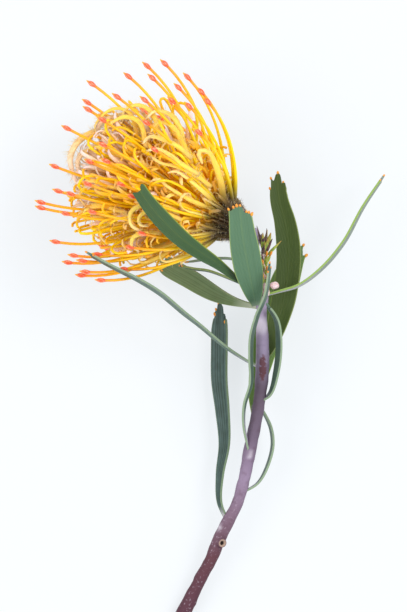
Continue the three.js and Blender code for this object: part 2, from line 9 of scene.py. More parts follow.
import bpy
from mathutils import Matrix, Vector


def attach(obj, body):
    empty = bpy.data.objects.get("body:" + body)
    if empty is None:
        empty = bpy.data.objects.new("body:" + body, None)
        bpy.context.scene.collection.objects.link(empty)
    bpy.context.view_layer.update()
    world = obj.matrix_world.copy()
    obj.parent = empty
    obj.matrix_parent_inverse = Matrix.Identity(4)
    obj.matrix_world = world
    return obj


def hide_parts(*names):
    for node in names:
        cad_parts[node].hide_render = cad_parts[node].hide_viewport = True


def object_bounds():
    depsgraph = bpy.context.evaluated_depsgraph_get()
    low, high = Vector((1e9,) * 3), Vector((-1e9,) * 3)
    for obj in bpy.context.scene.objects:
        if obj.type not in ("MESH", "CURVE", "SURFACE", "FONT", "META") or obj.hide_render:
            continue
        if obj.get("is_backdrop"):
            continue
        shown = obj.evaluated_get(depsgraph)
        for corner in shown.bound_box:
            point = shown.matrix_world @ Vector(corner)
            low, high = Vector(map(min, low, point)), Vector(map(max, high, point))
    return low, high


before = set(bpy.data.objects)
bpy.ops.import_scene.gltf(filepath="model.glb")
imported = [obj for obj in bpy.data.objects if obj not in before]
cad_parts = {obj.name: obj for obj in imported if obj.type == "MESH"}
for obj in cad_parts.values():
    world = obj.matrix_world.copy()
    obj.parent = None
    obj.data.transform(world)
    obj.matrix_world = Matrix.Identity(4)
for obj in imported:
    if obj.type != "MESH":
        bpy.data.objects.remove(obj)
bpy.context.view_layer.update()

# %% [markdown]
# ## Units, chance and smooth lines
#
# The plant is measured in millimetres and Blender works in metres, so every finished mesh is scaled once,
# at the end. A plant needs chance, but the same flower has to grow on every run, so one small generator
# with a seed gives all of it. Stems, midribs and styles are all lines through a few known points, and one
# smooth curve through points serves them all.

# %% Units and chance
import math

import bmesh
import bpy
from mathutils import Matrix, Vector, noise

MM = 0.001
UP = Vector((0, 0, 1))
GOLDEN_ANGLE = math.pi * (3 - math.sqrt(5))


def generator(seed):
    """Gives a function that returns the same run of numbers from 0 to 1 on every run."""
    factor, step, cycle = 1664525, 1013904223, 2**32
    state = seed

    def draw():
        nonlocal state
        state = (state * factor + step) % cycle
        return state / cycle

    return draw


def any_way(draw):
    return Vector([draw() - 0.5 for _ in range(3)])


def mix(a, b, share):
    return a + (b - a) * share


def held(value, low=0, high=1):
    return min(max(value, low), high)


def smooth(value, low, high):
    share = held((value - low) / (high - low))
    return share * share * (3 - 2 * share)


def turned(way, degrees, about):
    return Matrix.Rotation(math.radians(degrees), 3, about) @ way


print("one millimetre is", MM, "of Blender's units")

# %% Smooth lines through points
CURVE_STEPS = 60


def through(points, share):
    """A place on the smooth curve that passes through the points."""
    last = len(points) - 1
    place = share * last
    k = min(int(place), last - 1)
    p1, p2 = points[k], points[k + 1]
    p0 = points[k - 1] if k > 0 else 2 * p1 - p2
    p3 = points[k + 2] if k + 2 <= last else 2 * p2 - p1
    d0, d1, d2 = (math.sqrt((b - a).length) or 1 for a, b in ((p0, p1), (p1, p2), (p2, p3)))
    t1 = ((p1 - p0) / d0 - (p2 - p0) / (d0 + d1) + (p2 - p1) / d1) * d1
    t2 = ((p2 - p1) / d1 - (p3 - p1) / (d1 + d2) + (p3 - p2) / d2) * d1
    w = place - k
    bend = 3 * (p2 - p1) - 2 * t1 - t2
    return p1 + t1 * w + bend * w**2 + (2 * (p1 - p2) + t1 + t2) * w**3


def heading(points, share):
    """The direction of that curve at a share of it."""
    step = 0.0001
    return (through(points, held(share + step)) - through(points, held(share - step))).normalized()


class Line:
    """A line that can be walked at an even pace."""

    def __init__(self, samples):
        self.samples = samples
        self.reached = [0]
        for a, b in zip(samples, samples[1:]):
            self.reached.append(self.reached[-1] + (b - a).length)
        self.length = self.reached[-1]

    def at(self, share):
        goal = held(share) * self.length
        k = 0
        while k < len(self.reached) - 2 and self.reached[k + 1] < goal:
            k += 1
        step = self.reached[k + 1] - self.reached[k]
        return mix(self.samples[k], self.samples[k + 1], (goal - self.reached[k]) / (step or 1))

    def ahead(self, share):
        return (self.at(share + 0.01) - self.at(share - 0.01)).normalized()

    def spread(self, count):
        return [self.at(i / (count - 1)) for i in range(count)]


def curve_line(points):
    return Line([through(points, i / CURVE_STEPS) for i in range(CURVE_STEPS + 1)])


sample_curve = curve_line([Vector((0, 0, 0)), Vector((5, 2, 0)), UP])
print("a curve through three points is", round(sample_curve.length, 1), "mm long")

# %% [markdown]
# ## Tubes that follow a line
#
# Styles, perianths, hairs, bracts and the stem are all tubes of some kind. A tube is rolled from a flat
# grid, because the grid brings its UV map along: U runs round the tube and V runs along it, which is what
# a pattern on a stalk has to follow. The grid's first and last rows close to a point. One such unit tube
# is copied as often as needed, and the rows of each copy are then moved onto their own line.

# %% Meshes and the unit tube


def as_mesh(bm, name):
    mesh = bpy.data.meshes.new(name)
    bm.to_mesh(mesh)
    bm.free()
    return mesh


def put_in_scene(name, data):
    made = bpy.data.objects.new(name, data)
    bpy.context.scene.collection.objects.link(made)
    return made


def unit_tube(rings, sides):
    """A tube of so many rings along Z, closed at both ends, as a mesh to be copied."""
    bm = bmesh.new()
    bm.loops.layers.uv.new("UVMap")
    rows = rings + 1
    bmesh.ops.create_grid(bm, x_segments=sides, y_segments=rows, size=0.5, calc_uvs=True)
    for vert in bm.verts:
        turn = (vert.co.x + 0.5) * 2 * math.pi
        row = round((vert.co.y + 0.5) * rows)
        width = 0 if row in (0, rows) else 1
        vert.co = (math.cos(turn) * width, math.sin(turn) * width, row)
    bmesh.ops.remove_doubles(bm, verts=bm.verts, dist=0.0001)
    bmesh.ops.recalc_face_normals(bm, faces=bm.faces)
    return as_mesh(bm, "unit_tube")


def carried_frames(points, side):
    """At each point the direction ahead and two directions across, turned as little as possible."""
    frames = []
    across = side.copy()
    for i, point in enumerate(points):
        ahead = (points[min(i + 1, len(points) - 1)] - points[max(i - 1, 0)]).normalized()
        across = (across - ahead * across.dot(ahead)).normalized()
        frames.append((point, across, ahead.cross(across)))
    return frames


def tubes(lines, sides):
    """One bmesh with a tube for each line: its points, their radii, and perhaps side, flat, gutter, tone."""
    rings = len(lines[0]["points"])
    unit = unit_tube(rings, sides)
    bm = bmesh.new()
    for _ in lines:
        bm.from_mesh(unit)
    tone = bm.verts.layers.float.new("tone")
    bm.verts.ensure_lookup_table()
    count = len(unit.vertices)
    for k, line in enumerate(lines):
        frames = carried_frames(line["points"], line.get("side", UP))
        flat, gutter = line.get("flat", 1), line.get("gutter", 0)
        for vert in bm.verts[k * count : (k + 1) * count]:
            ring = held(round(vert.co.z) - 1, 0, rings - 1)
            point, across, other = frames[ring]
            radius = line["radii"][ring]
            depth = vert.co.y * flat + gutter * (vert.co.x**2 if vert.co.xy.length > 0.5 else 0)
            vert.co = point + across * vert.co.x * radius + other * depth * radius
            vert[tone] = line.get("tone", 0.5)
    bpy.data.meshes.remove(unit)
    return bm


def add_piece(name, bm, material, slot, *stands_for):
    """Makes the object in metres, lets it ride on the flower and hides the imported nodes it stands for."""
    bmesh.ops.scale(bm, vec=(MM, MM, MM), verts=bm.verts)
    for face in bm.faces:
        face.smooth = True
    mesh = as_mesh(bm, name)
    piece = put_in_scene(name, mesh)
    mesh.materials.append(material)
    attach(piece, "root")
    if stands_for:
        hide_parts(*stands_for)
    mesh.calc_loop_triangles()
    print(name, "has", len(mesh.loop_triangles), "triangles")
    return piece


probe = unit_tube(4, 6)
print("a unit tube of 4 rings and 6 sides has", len(probe.vertices), "vertices")
bpy.data.meshes.remove(probe)

# %% [markdown]
# ## Camera, surface and light
#
# The photograph shows the flower from straight above, with no sense of depth: a long lens far away. Its
# scale is 0.4 mm to a pixel, so the frame's height and the lens give the camera's distance. The light is
# what a white studio gives: it comes from all sides, a little stronger from the right, and leaves hardly
# a shadow. The pale surface glows a little by itself, as a lit backdrop does.

# %% Camera
PIXEL = 0.4
FRAME_WIDTH, FRAME_HEIGHT = 407, 612
LEFT_EDGE, TOP_EDGE = -84, 140
CAMERA_HEIGHT = 5000
SHARP_LEVEL = 20
PICTURE_MIDDLE = (PIXEL * FRAME_WIDTH / 2 + LEFT_EDGE, TOP_EDGE - PIXEL * FRAME_HEIGHT / 2)

camera_data = bpy.data.cameras.new("camera")
camera_data.sensor_width = 36
camera_data.lens = camera_data.sensor_width * CAMERA_HEIGHT / (PIXEL * FRAME_HEIGHT)
camera_data.clip_end = 20
camera = put_in_scene("camera", camera_data)
camera.location = Vector((*PICTURE_MIDDLE, CAMERA_HEIGHT + SHARP_LEVEL)) * MM
bpy.context.scene.camera = camera
print("lens", round(camera_data.lens), "mm")

# %% Surface, lights and sky


def set_values(node, values):
    """Gives a node's sockets plain values."""
    for name, value in values.items():
        node.inputs[name].default_value = value


def plain_material(name, values):
    """A material whose shader has plain values. Gives the material, its tree and its shader."""
    material = bpy.data.materials.new(name)
    material.use_nodes = True
    shader = material.node_tree.nodes["Principled BSDF"]
    set_values(shader, values)
    return material, material.node_tree, shader


def soft_light(name, place, size, power):
    """A square soft box that faces the flower."""
    data = bpy.data.lights.new(name, "AREA")
    data.size = size
    data.energy = power
    light = put_in_scene(name, data)
    light.location = place
    light.rotation_euler = (-Vector(place)).to_track_quat("-Z", "Y").to_euler()


floor_bm = bmesh.new()
bmesh.ops.create_grid(floor_bm, x_segments=1, y_segments=1, size=3)
floor = put_in_scene("floor", as_mesh(floor_bm, "floor"))
floor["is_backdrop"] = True
FLOOR_LOOK = {
    "Base Color": (0.22, 0.225, 0.23, 1),
    "Roughness": 1,
    "Specular IOR Level": 0,
    "Emission Color": (0.93, 0.97, 1, 1),
    "Emission Strength": 0.7,
}
floor.data.materials.append(plain_material("pale surface", FLOOR_LOOK)[0])

soft_light("key", (0.9, 0.5, 1.5), 0.9, 17)
soft_light("fill", (-1.1, -0.2, 1.3), 1.2, 11)
world = bpy.data.worlds.new("studio")
bpy.context.scene.world = world
world.use_nodes = True
set_values(world.node_tree.nodes["Background"], {"Color": (0.95, 0.97, 1, 1), "Strength": 0.9})
bpy.context.scene.view_settings.view_transform = "Standard"

# %% [markdown]
# ## Shared effects for the materials
#
# Living surfaces are never one colour. Three effects come back in most of the materials: mottling, which
# mixes two tones by a soft noise, fibres, which are long streaks that follow a tube's V direction, and
# the blade of a leaf with its midrib, side veins and yellow-green margin. Each is a node group, built
# once, and every material that uses it gives its own colours and sizes.

# %% Helpers for node trees


def colour(text):
    """A colour as seen on screen, such as d89a3c, in the linear numbers that a shader wants."""
    parts = [int(text[i : i + 2], 16) / 255 for i in (0, 2, 4)]
    return (*(c / 12.92 if c < 0.04045 else ((c + 0.055) / 1.055) ** 2.4 for c in parts), 1)


def node(tree, kind, sources=None, **settings):
    """Adds a node, sets its settings and feeds its inputs: a socket, a plain value or a screen colour."""
    made = tree.nodes.new("ShaderNode" + kind)
    for name, value in settings.items():
        setattr(made, name, value)
    for name, source in (sources or {}).items():
        if isinstance(source, bpy.types.NodeSocket):
            tree.links.new(source, made.inputs[name])
        else:
            made.inputs[name].default_value = colour(source) if isinstance(source, str) else source
    return made


def effect(name, inputs, outputs):
    """A node group with named inputs and outputs. Gives the tree, its inputs by name and its way out."""
    tree = bpy.data.node_groups.new(name, "ShaderNodeTree")
    for sockets, way in ((inputs, "INPUT"), (outputs, "OUTPUT")):
        for label, kind in sockets.items():
            tree.interface.new_socket(label, in_out=way, socket_type="NodeSocket" + kind)
    return tree, tree.nodes.new("NodeGroupInput").outputs, tree.nodes.new("NodeGroupOutput").inputs


def use(tree, group, **sources):
    """Places an effect in a tree. Spaces in its input names are written as underscores."""
    named = {name.replace("_", " "): source for name, source in sources.items()}
    return node(tree, "Group", named, node_tree=group).outputs


def place_of(tree, kind="Object"):
    return node(tree, "TexCoord").outputs[kind]


def parts_of(tree, kind):
    return node(tree, "SeparateXYZ", {"Vector": place_of(tree, kind)}).outputs


def attribute(tree, name, output="Fac"):
    return node(tree, "Attribute", attribute_name=name).outputs[output]


def maths(tree, operation, a, b=0.0):
    return node(tree, "Math", {0: a, 1: b}, operation=operation).outputs[0]


def plus(tree, a, b):
    return maths(tree, "ADD", a, b)


def times(tree, a, b):
    return maths(tree, "MULTIPLY", a, b)


def between(tree, value, low, high):
    """0 below low and 1 above high, or the other way round if high is the lower."""
    made = node(tree, "MapRange", {"Value": value, "From Min": low, "From Max": high}, clamp=True)
    return made.outputs["Result"]


def blend(tree, share, under, over, strength=None):
    """Lays one colour over another by a share, which a strength can weaken."""
    if strength is not None:
        share = times(tree, share, strength)
    return node(tree, "Mix", {0: share, 6: under, 7: over}, data_type="RGBA").outputs[2]


def ramp(tree, value, *stops):
    """A colour for each value, from a row of (value, screen colour) stops."""
    made = node(tree, "ValToRGB", {"Fac": value})
    elements = made.color_ramp.elements
    while len(elements) < len(stops):
        elements.new(1)
    for element, (place, text) in zip(elements, stops):
        element.position = place
        element.color = colour(text)
    return made.outputs["Color"]


print("screen colour d89a3c is", tuple(round(c, 3) for c in colour("d89a3c")))

# %% Mottling
SKIN = {"Color": "Color", "Height": "Float"}
mottling, given, result = effect("mottling", {"Light": "Color", "Dark": "Color", "Scale": "Float"}, SKIN)
noises = {"Vector": place_of(mottling), "Scale": given["Scale"], "Detail": 4.0}
cloud = node(mottling, "TexNoise", noises).outputs["Fac"]
mixed = blend(mottling, between(mottling, cloud, 0.3, 0.7), given["Dark"], given["Light"])
mottling.links.new(mixed, result["Color"])
mottling.links.new(cloud, result["Height"])
print("mottling has", len(mottling.nodes), "nodes")

# %% Fibres
fibres, given, result = effect("fibres", {"Round": "Float", "Along": "Float"}, {"Streak": "Float"})
stretch = node(fibres, "CombineXYZ", {"X": given["Round"], "Y": given["Along"], "Z": 1.0}).outputs[0]
uv = place_of(fibres, "UV")
stretched = node(fibres, "VectorMath", {0: uv, 1: stretch}, operation="MULTIPLY").outputs[0]
moved = node(fibres, "VectorMath", {0: stretched, 1: attribute(fibres, "tone", "Vector")}).outputs[0]
streaks = node(fibres, "TexNoise", {"Vector": moved, "Scale": 1.0, "Detail": 3.0})
fibres.links.new(streaks.outputs["Fac"], result["Streak"])
print("fibres has", len(fibres.nodes), "nodes")

# %% The blade of a leaf
VEINS_ALONG, VEIN_SLANT, WHOLE_TURN = 14.0, 9.0, 6.283
colours, sizes = ("Face", "Shade", "Margin", "Foot"), ("Margin Width", "Foot Reach", "Streaks")
inputs = {**dict.fromkeys(colours, "Color"), **dict.fromkeys(sizes, "Float")}
blade, given, result = effect("leaf blade", inputs, SKIN)
uv = parts_of(blade, "UV")
aside = maths(blade, "ABSOLUTE", maths(blade, "SUBTRACT", uv["X"], 0.5))
cloud = node(blade, "TexNoise", {"Vector": place_of(blade), "Scale": 260.0, "Detail": 5.0}).outputs["Fac"]
slant = plus(blade, times(blade, uv["Y"], VEINS_ALONG), times(blade, aside, -VEIN_SLANT))
ripple = maths(blade, "SINE", times(blade, plus(blade, slant, cloud), WHOLE_TURN))
veins = between(blade, ripple, 0.7, 1.0)
midrib = between(blade, aside, 0.05, 0.015)
streak = use(blade, fibres, Round=16.0, Along=0.7)["Streak"]
patches = times(blade, between(blade, cloud, 0.3, 0.7), 0.5)
mottled = maths(blade, "SUBTRACT", patches, between(blade, streak, 0.42, 0.58))
shading = plus(blade, times(blade, mottled, given["Streaks"]), 0.65)
face = blend(blade, shading, given["Shade"], given["Face"])
veined = blend(blade, veins, face, given["Margin"], 0.05)
ribbed = blend(blade, midrib, veined, given["Margin"], 0.08)
footed = blend(blade, between(blade, uv["Y"], given["Foot Reach"], 0.0), ribbed, given["Foot"])
near_rim = between(blade, attribute(blade, "rim"), given["Margin Width"], 0.0)
edged = blend(blade, near_rim, footed, given["Margin"])
blade.links.new(edged, result["Color"])
blade.links.new(plus(blade, plus(blade, veins, midrib), cloud), result["Height"])
print("leaf blade has", len(blade.nodes), "nodes")

# %% [markdown]
# ## The finishes
#
# Leaves are leathery with a low sheen, and differ from one to the next: some are bluish, some deep green
# and the older ones olive. Styles are glossy and waxy, golden at the foot and more orange towards the
# tip. Perianths are dull and silky because hairs cover them, and the bark is matte. Plant tissue lets
# light through, which a little subsurface scattering gives.

# %% Finish helper


def finish(name, roughness, specular, through_light=0.0, sheen=0.0):
    """A plain living surface. Gives the material, its tree and its shader."""
    values = {
        "Roughness": roughness,
        "Specular IOR Level": specular,
        "Subsurface Weight": through_light,
        "Subsurface Radius": (1.0, 0.7, 0.3),
        "Subsurface Scale": MM,
        "Sheen Weight": sheen,
    }
    return plain_material(name, values)


def coat(tree, shader, skin, height, distance, strength=0.5):
    """Feeds a colour and the relief of a height into the shader."""
    tree.links.new(skin, shader.inputs["Base Color"])
    bump = node(tree, "Bump", {"Height": height, "Distance": distance, "Strength": strength})
    tree.links.new(bump.outputs["Normal"], shader.inputs["Normal"])


def hairs_and_shade_at_feet(tree, body):
    """Browns what lies next to the cup: partly the short dark hairs that cover everything there, partly
    painted shade deep in the head.
    """
    return blend(tree, attribute(tree, "foot"), body, "48362c", 0.95)


def mottled_finish(name, light, dark, scale, relief, *plain, tip=None, feet=False):
    """A finish of two mottled tones, perhaps with a tip of another colour or with feet browned by dark hairs
    and painted shade.
    """
    material, tree, shader = finish(name, *plain)
    mottles = use(tree, mottling, Light=light, Dark=dark, Scale=scale)
    skin = mottles["Color"]
    if tip:
        skin = blend(tree, between(tree, parts_of(tree, "UV")["Y"], 0.6, 0.95), skin, tip)
    if feet:
        skin = hairs_and_shade_at_feet(tree, skin)
    coat(tree, shader, skin, mottles["Height"], relief)
    return material


print("materials so far:", len(bpy.data.materials))

# %% Leaf finishes


def leaf_finish(name, face, shade, margin, foot, margin_width, foot_reach, streaks):
    material, tree, shader = finish(name, 0.5, 0.35, 0.06)
    skin = use(
        tree, blade, Face=face, Shade=shade, Margin=margin, Foot=foot,
        Margin_Width=margin_width, Foot_Reach=foot_reach, Streaks=streaks,
    )
    coat(tree, shader, skin["Color"], skin["Height"], 0.0003, 0.22)
    return material


bluish_leaf = leaf_finish("bluish leaf", "57785c", "496a4e", "93a860", "7d9079", 0.35, 0.12, 0.3)
deep_leaf = leaf_finish("deep green leaf", "3c5c36", "314d2e", "93a230", "9b96a6", 0.7, 0.22, 0.3)
dusky_leaf = leaf_finish("dusky leaf", "6e8457", "4a5f34", "8b986c", "b3b7a2", 0.3, 0.22, 0.45)
olive_leaf = leaf_finish("olive leaf", "43561f", "354818", "72813a", "c9c3b4", 0.3, 0.06, 0.3)
slate_leaf = leaf_finish("slate leaf", "4a5c5a", "34464a", "87995c", "6a7472", 0.3, 0.2, 0.5)
slender_leaf = leaf_finish("slender leaf", "62796a", "3a5246", "83967a", "c4bccb", 0.25, 0.24, 0.7)
lilac_leaf = leaf_finish("lilac-backed leaf", "8f9690", "65796a", "85a04e", "d2ccd8", 0.35, 0.5, 0.6)
fresh_leaf = leaf_finish("fresh green leaf", "5c7a38", "47642c", "8aa048", "b9b2b4", 0.35, 0.1, 0.5)
grey_leaf = leaf_finish("grey leaf", "4b625d", "22352d", "6a7e60", "d0cccf", 0.25, 0.1, 0.85)
print("leaf finishes:", [m.name for m in bpy.data.materials if "leaf" in m.name])

# %% Gland, bud, bract and core finishes
gland_orange = mottled_finish("leaf gland", "f2a832", "d27a2a", 900.0, 0.0002, 0.4, 0.5, 0.1)
bud_skin = mottled_finish("bud skin", "f0dedd", "d3b0b3", 900.0, 0.0003, 0.7, 0.3, 0.2)
young_leaf = mottled_finish("young leaf", "b4bf55", "76903c", 600.0, 0.0002, 0.55, 0.35, 0.15, tip="a5662f")
bract_brown = mottled_finish("bract", "7d5f58", "3f2a2e", 700.0, 0.0004, 0.85, 0.2, 0.0, 0.3, tip="3a1f26")
# The receptacle's feet are browned: partly dark hairs, partly painted shade.
core_brown = mottled_finish("receptacle", "ffb800", "ee9a00", 420.0, 0.001, 0.9, 0.15, feet=True)
print("finishes:", len(bpy.data.materials))

# %% The bark's finish
BARK_FOOT, BARK_TOP = -0.115, 0.045
bark, tree, shader = finish("bark", 0.7, 0.3)
along = between(tree, parts_of(tree, "Object")["Y"], BARK_FOOT, BARK_TOP)
tint = ramp(
    tree, along, (0, "4e2c3a"), (0.2, "5a353d"), (0.3, "755d6e"), (0.4, "8c7991"), (0.5, "665769"),
    (0.62, "5a4d5b"), (0.72, "8c7f97"), (1, "9e90a5"),
)
streak = use(tree, fibres, Round=6.0, Along=60.0)["Streak"]
grain = use(tree, mottling, Scale=900.0)["Height"]
skin = blend(tree, between(tree, streak, 0.5, 0.75), tint, "4a2c36", 0.4)
flecks = times(tree, between(tree, grain, 0.58, 0.7), between(tree, along, 0.45, 0.25))
skin = blend(tree, flecks, skin, "b9a9b6", 0.4)
ragged = times(tree, attribute(tree, "scar"), between(tree, grain, 0.25, 0.6))
skin = blend(tree, between(tree, ragged, 0.1, 0.5), skin, "55292b", 0.85)
skin = blend(tree, attribute(tree, "pale"), skin, "ddd5e0", 0.5)
cut = attribute(tree, "cut")
skin = blend(tree, between(tree, cut, 0.25, 0.5), skin, "a08878")
# Painted shade: the floor of the stub's hollow pith is near black.
skin = blend(tree, between(tree, cut, 0.75, 1.0), skin, "1e1410")
coat(tree, shader, skin, plus(tree, streak, grain), 0.0003, 0.4)
print("the bark's finish has", len(tree.nodes), "nodes")

# %% Floret finishes
style_gold, tree, shader = finish("golden style", 0.36, 0.4, 0.15)
along = parts_of(tree, "UV")["Y"]
streak = use(tree, fibres, Round=6.0, Along=8.0)["Streak"]
ends = ((0.65, "ffa01a"), (0.7, "f6562c"), (0.87, "f2572a"), (0.93, "f6a831"), (0.97, "ecd83a"))
# The first stop of each ramp is darker: painted shade at the style's foot, deep in the head.
yellow = ramp(tree, along, (0, "d9ba1a"), (0.06, "ffe600"), (0.4, "ffd900"), (0.58, "ffc206"), *ends)
golden = ramp(tree, along, (0, "d9aa1a"), (0.06, "ffd800"), (0.4, "ffc600"), (0.58, "ffb00c"), *ends)
body = blend(tree, attribute(tree, "tone"), yellow, golden)
body = blend(tree, between(tree, streak, 0.5, 0.8), body, "f4b010", 0.15)
# Painted highlight: pale pink streaks on the swollen presenter.
swollen = times(tree, between(tree, along, 0.69, 0.75), between(tree, along, 0.92, 0.84))
painted_highlight = times(tree, swollen, between(tree, streak, 0.48, 0.62))
body = blend(tree, painted_highlight, body, "fcc2a0", 0.5)
# Feet browned next to the cup: partly dark hairs, partly painted shade.
coat(tree, shader, hairs_and_shade_at_feet(tree, body), streak, 0.0002, 0.4)


def silky(name, along, warm, edge, warmth=0.7):
    """A hairy perianth: its colours along it, whose first stops are darker towards the foot as painted shade,
    a second tone for some of them and darker streaks.
    """
    material, tree, shader = finish(name, 0.75, 0.2, 0.15, 0.05)
    streak = use(tree, fibres, Round=10.0, Along=8.0)["Streak"]
    body = ramp(tree, parts_of(tree, "UV")["Y"], *along)
    body = blend(tree, between(tree, attribute(tree, "tone"), 0.3, 1.0), body, warm, warmth)
    body = blend(tree, between(tree, streak, 0.45, 0.7), body, edge, 0.45)
    coat(tree, shader, hairs_and_shade_at_feet(tree, body), streak, 0.0004, 0.5)
    return material


# The dark first stops of these ramps are painted shade near the lobes' roots.
sheath_silk = silky(
    "perianth sheath", ((0, "a08a40"), (0.08, "f0d058"), (0.25, "ffec74"), (0.6, "ffe678"), (1, "ffdcac")),
    "ffca1c", "fab830",
)
cream_silk = silky(
    "creamy perianth", ((0, "b09468"), (0.1, "ecc868"), (0.3, "ffdc54"), (0.7, "ffdf70"), (1, "ffe4b8")),
    "ffcc3c", "ecae58", 0.6,
)
perianth_silk = silky(
    "inner perianth", ((0, "f09c00"), (0.25, "ffbc04"), (0.6, "ffd230"), (1, "ffe4b0")),
    "ffb20a", "ffa614", 0.8,
)
crown_silk = silky(
    "unopened perianth", ((0, "ffb010"), (0.3, "ffd070"), (0.6, "ffe2c4"), (1, "f6e6f0")),
    "ffd088", "f2bc98", 0.5,
)
hair_silk = silky("silky hair", ((0, "f4d890"), (1, "fff2cc")), "f8dc90", "fdeab8")
print("finishes:", len(bpy.data.materials))

# %% [markdown]
# ## The stem
#
# The shoot is woody, about 5 mm thick, with a swelling wherever a leaf stood. It is a tube whose radius
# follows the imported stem's, with small swellings at the nodes and a little unevenness all over. The bark
# is lilac above and reddish brown below, with one dark scar, pale patches and the wood of a cut stub, so the
# mesh carries three attributes that say where these are, and the material only has to read them.

# %% Routes of the stem
STEM_ROUTE = [
    (-15.4, -115, 3.0, 2.9), (-10.3, -104.8, 4.6, 2.9), (-4, -92, 7, 2.5), (0.4, -84, 8.7, 2.4),
    (3.6, -76, 10.5, 2.6), (8, -67.2, 12.5, 2.5), (10.7, -62, 13.8, 2.3), (13.6, -52, 16.2, 2.3),
    (15.8, -40.8, 18.8, 2.6), (18.4, -28, 21.8, 2.4), (20, -18, 24, 2.4), (20.9, -8, 26.3, 2.8),
    (21, 0, 28.2, 2.6), (20.8, 8, 30.2, 2.4), (20.8, 16, 32.3, 1.9), (21.8, 21.2, 33.7, 1.5),
    (22.4, 28, 35.2, 1.25), (22.2, 32, 36, 1.2),
]
PEDUNCLE_ROUTE = [
    (20.8, 14, 31.8, 1.7), (19.4, 22, 33.9, 2.2), (17.6, 31, 35.6, 2.2), (17.3, 39, 37, 2.2),
    (17.5, 44.6, 37.8, 2.3), (16.1, 47.7, 38, 2.6),
]
STEM_RINGS, STEM_BUMPS = 130, 0.25
PEDUNCLE_RINGS, PEDUNCLE_BUMPS = 40, 0.15
STUB_FOOT, STUB_END = Vector((3.6, -76.8, 10.6)), Vector((5, -77.4, 13.6))
STUB_SIDES, STUB_RADII = 24, (1.8, 1.75)
STUB_INSETS = ((0.3, -0.1, 0.6), (0.5, 0, 0.6), (0.15, -0.9, 1))
SCAR_MIDDLE, SCAR_HALVES = Vector((21, -6.9, 29)), Vector((1.5, 6.2, 3))
PALE_PATCHES = [
    (Vector((16, -41.8, 21)), 1.7), (Vector((20.5, 10, 32)), 5), (Vector((3.6, -71, 13)), 2),
    (Vector((17.6, -5, 27)), 2),
]
KNOTS = [(Vector((-8.2, -93, 7)), 0.9), (Vector((-7, -101.5, 6)), 0.8), (Vector((15, -41, 21)), 0.7)]


def route_line(route, rings, bumps):
    """The points and radii of a woody rod along a route of x, y, z and radius, with uneven bumps."""
    knots = [Vector(p[:3]) for p in route]
    spans = len(route) - 1
    points, radii = [], []
    for i in range(rings):
        share = i / (rings - 1)
        k = min(int(share * spans), spans - 1)
        place = through(knots, share)
        points.append(place)
        radii.append(mix(route[k][3], route[k + 1][3], share * spans - k) + noise.noise(place * 0.35) * bumps)
    return {"points": points, "radii": radii, "side": Vector((1, 0, 0))}


print("stem length", round(curve_line([Vector(p[:3]) for p in STEM_ROUTE]).length), "mm")

# %% Make the stem
SMALL_BUMPS = 0.08


def take_in(bm, extra):
    """Adds one bmesh to another."""
    holder = as_mesh(extra, "holder")
    bm.from_mesh(holder)
    bpy.data.meshes.remove(holder)


def cut_stub():
    """The stub of a side shoot: a cone whose end face is inset to a ring of wood round a hollow pith."""
    way = STUB_END - STUB_FOOT
    bm = bmesh.new()
    bm.loops.layers.uv.new("UVMap")
    cut = bm.verts.layers.float.new("cut")
    bmesh.ops.create_cone(
        bm, cap_ends=True, segments=STUB_SIDES, radius1=STUB_RADII[0], radius2=STUB_RADII[1],
        depth=way.length, calc_uvs=True,
    )
    top = max(bm.faces, key=lambda face: face.calc_center_median().z)
    for thickness, depth, mark in STUB_INSETS:
        bmesh.ops.inset_region(bm, faces=[top], thickness=thickness, depth=depth)
        for vert in top.verts:
            vert[cut] = mark
    turn = way.to_track_quat("Z", "Y").to_matrix().to_4x4()
    middle = Matrix.Translation(mix(STUB_FOOT, STUB_END, 0.5))
    bmesh.ops.transform(bm, matrix=middle @ turn, verts=bm.verts)
    return bm


stem_bm = tubes([route_line(STEM_ROUTE, STEM_RINGS, STEM_BUMPS)], sides=24)
stem_bm.verts.layers.float.new("cut")
take_in(stem_bm, tubes([route_line(PEDUNCLE_ROUTE, PEDUNCLE_RINGS, PEDUNCLE_BUMPS)], sides=20))
take_in(stem_bm, cut_stub())
scar_layer = stem_bm.verts.layers.float.new("scar")
pale_layer = stem_bm.verts.layers.float.new("pale")
for vert in stem_bm.verts:
    away = Vector(a / b for a, b in zip(vert.co - SCAR_MIDDLE, SCAR_HALVES))
    vert[scar_layer] = 1 - smooth(away.length, 0.6, 1.2)
    vert[pale_layer] = max(
        1 - smooth((vert.co - place).length, size * 0.3, size) for place, size in PALE_PATCHES
    )
    for place, size in KNOTS:
        out = vert.co - place
        vert.co += out.normalized() * size * 0.5 * (1 - smooth(out.length, 0.8, 3.2))
    vert.co += Vector((1, 1, 1)) * SMALL_BUMPS * noise.noise(vert.co * 0.9)
add_piece("stem_bark", stem_bm, bark, "bark", "stem")

# %% [markdown]
# ## The leaves
#
# A leaf of this plant is a leathery strap with a few blunt teeth at its end, each tipped by an orange
# gland. A flat grid is laid on the leaf's own curved surface, with its end row cut to the teeth, and then
# gets its thickness. The mesh also carries how far each point is from the margin, in millimetres, so that
# the yellow-green margin is equally wide on a broad leaf and a slender one.

# %% The leaves' routes and sizes
LEAF_THICKNESS = 0.8
USUAL_LEAF = {
    "base": 1.8, "full": 0.6, "narrow": 0.66, "apex": 0.6, "fold": 0.1, "plain_side": 0,
    "end": [(-1, -3.4), (-0.5, -2.4), (0, 1.2), (0.5, -2.4), (1, -2.2)],
    "glands": (-1, 0, 1),
}


def leaf_of(route, **own):
    """What makes one leaf: widths in millimetres, its turn in degrees and shares of its length."""
    return {**USUAL_LEAF, **own, "route": [Vector(place) for place in route]}


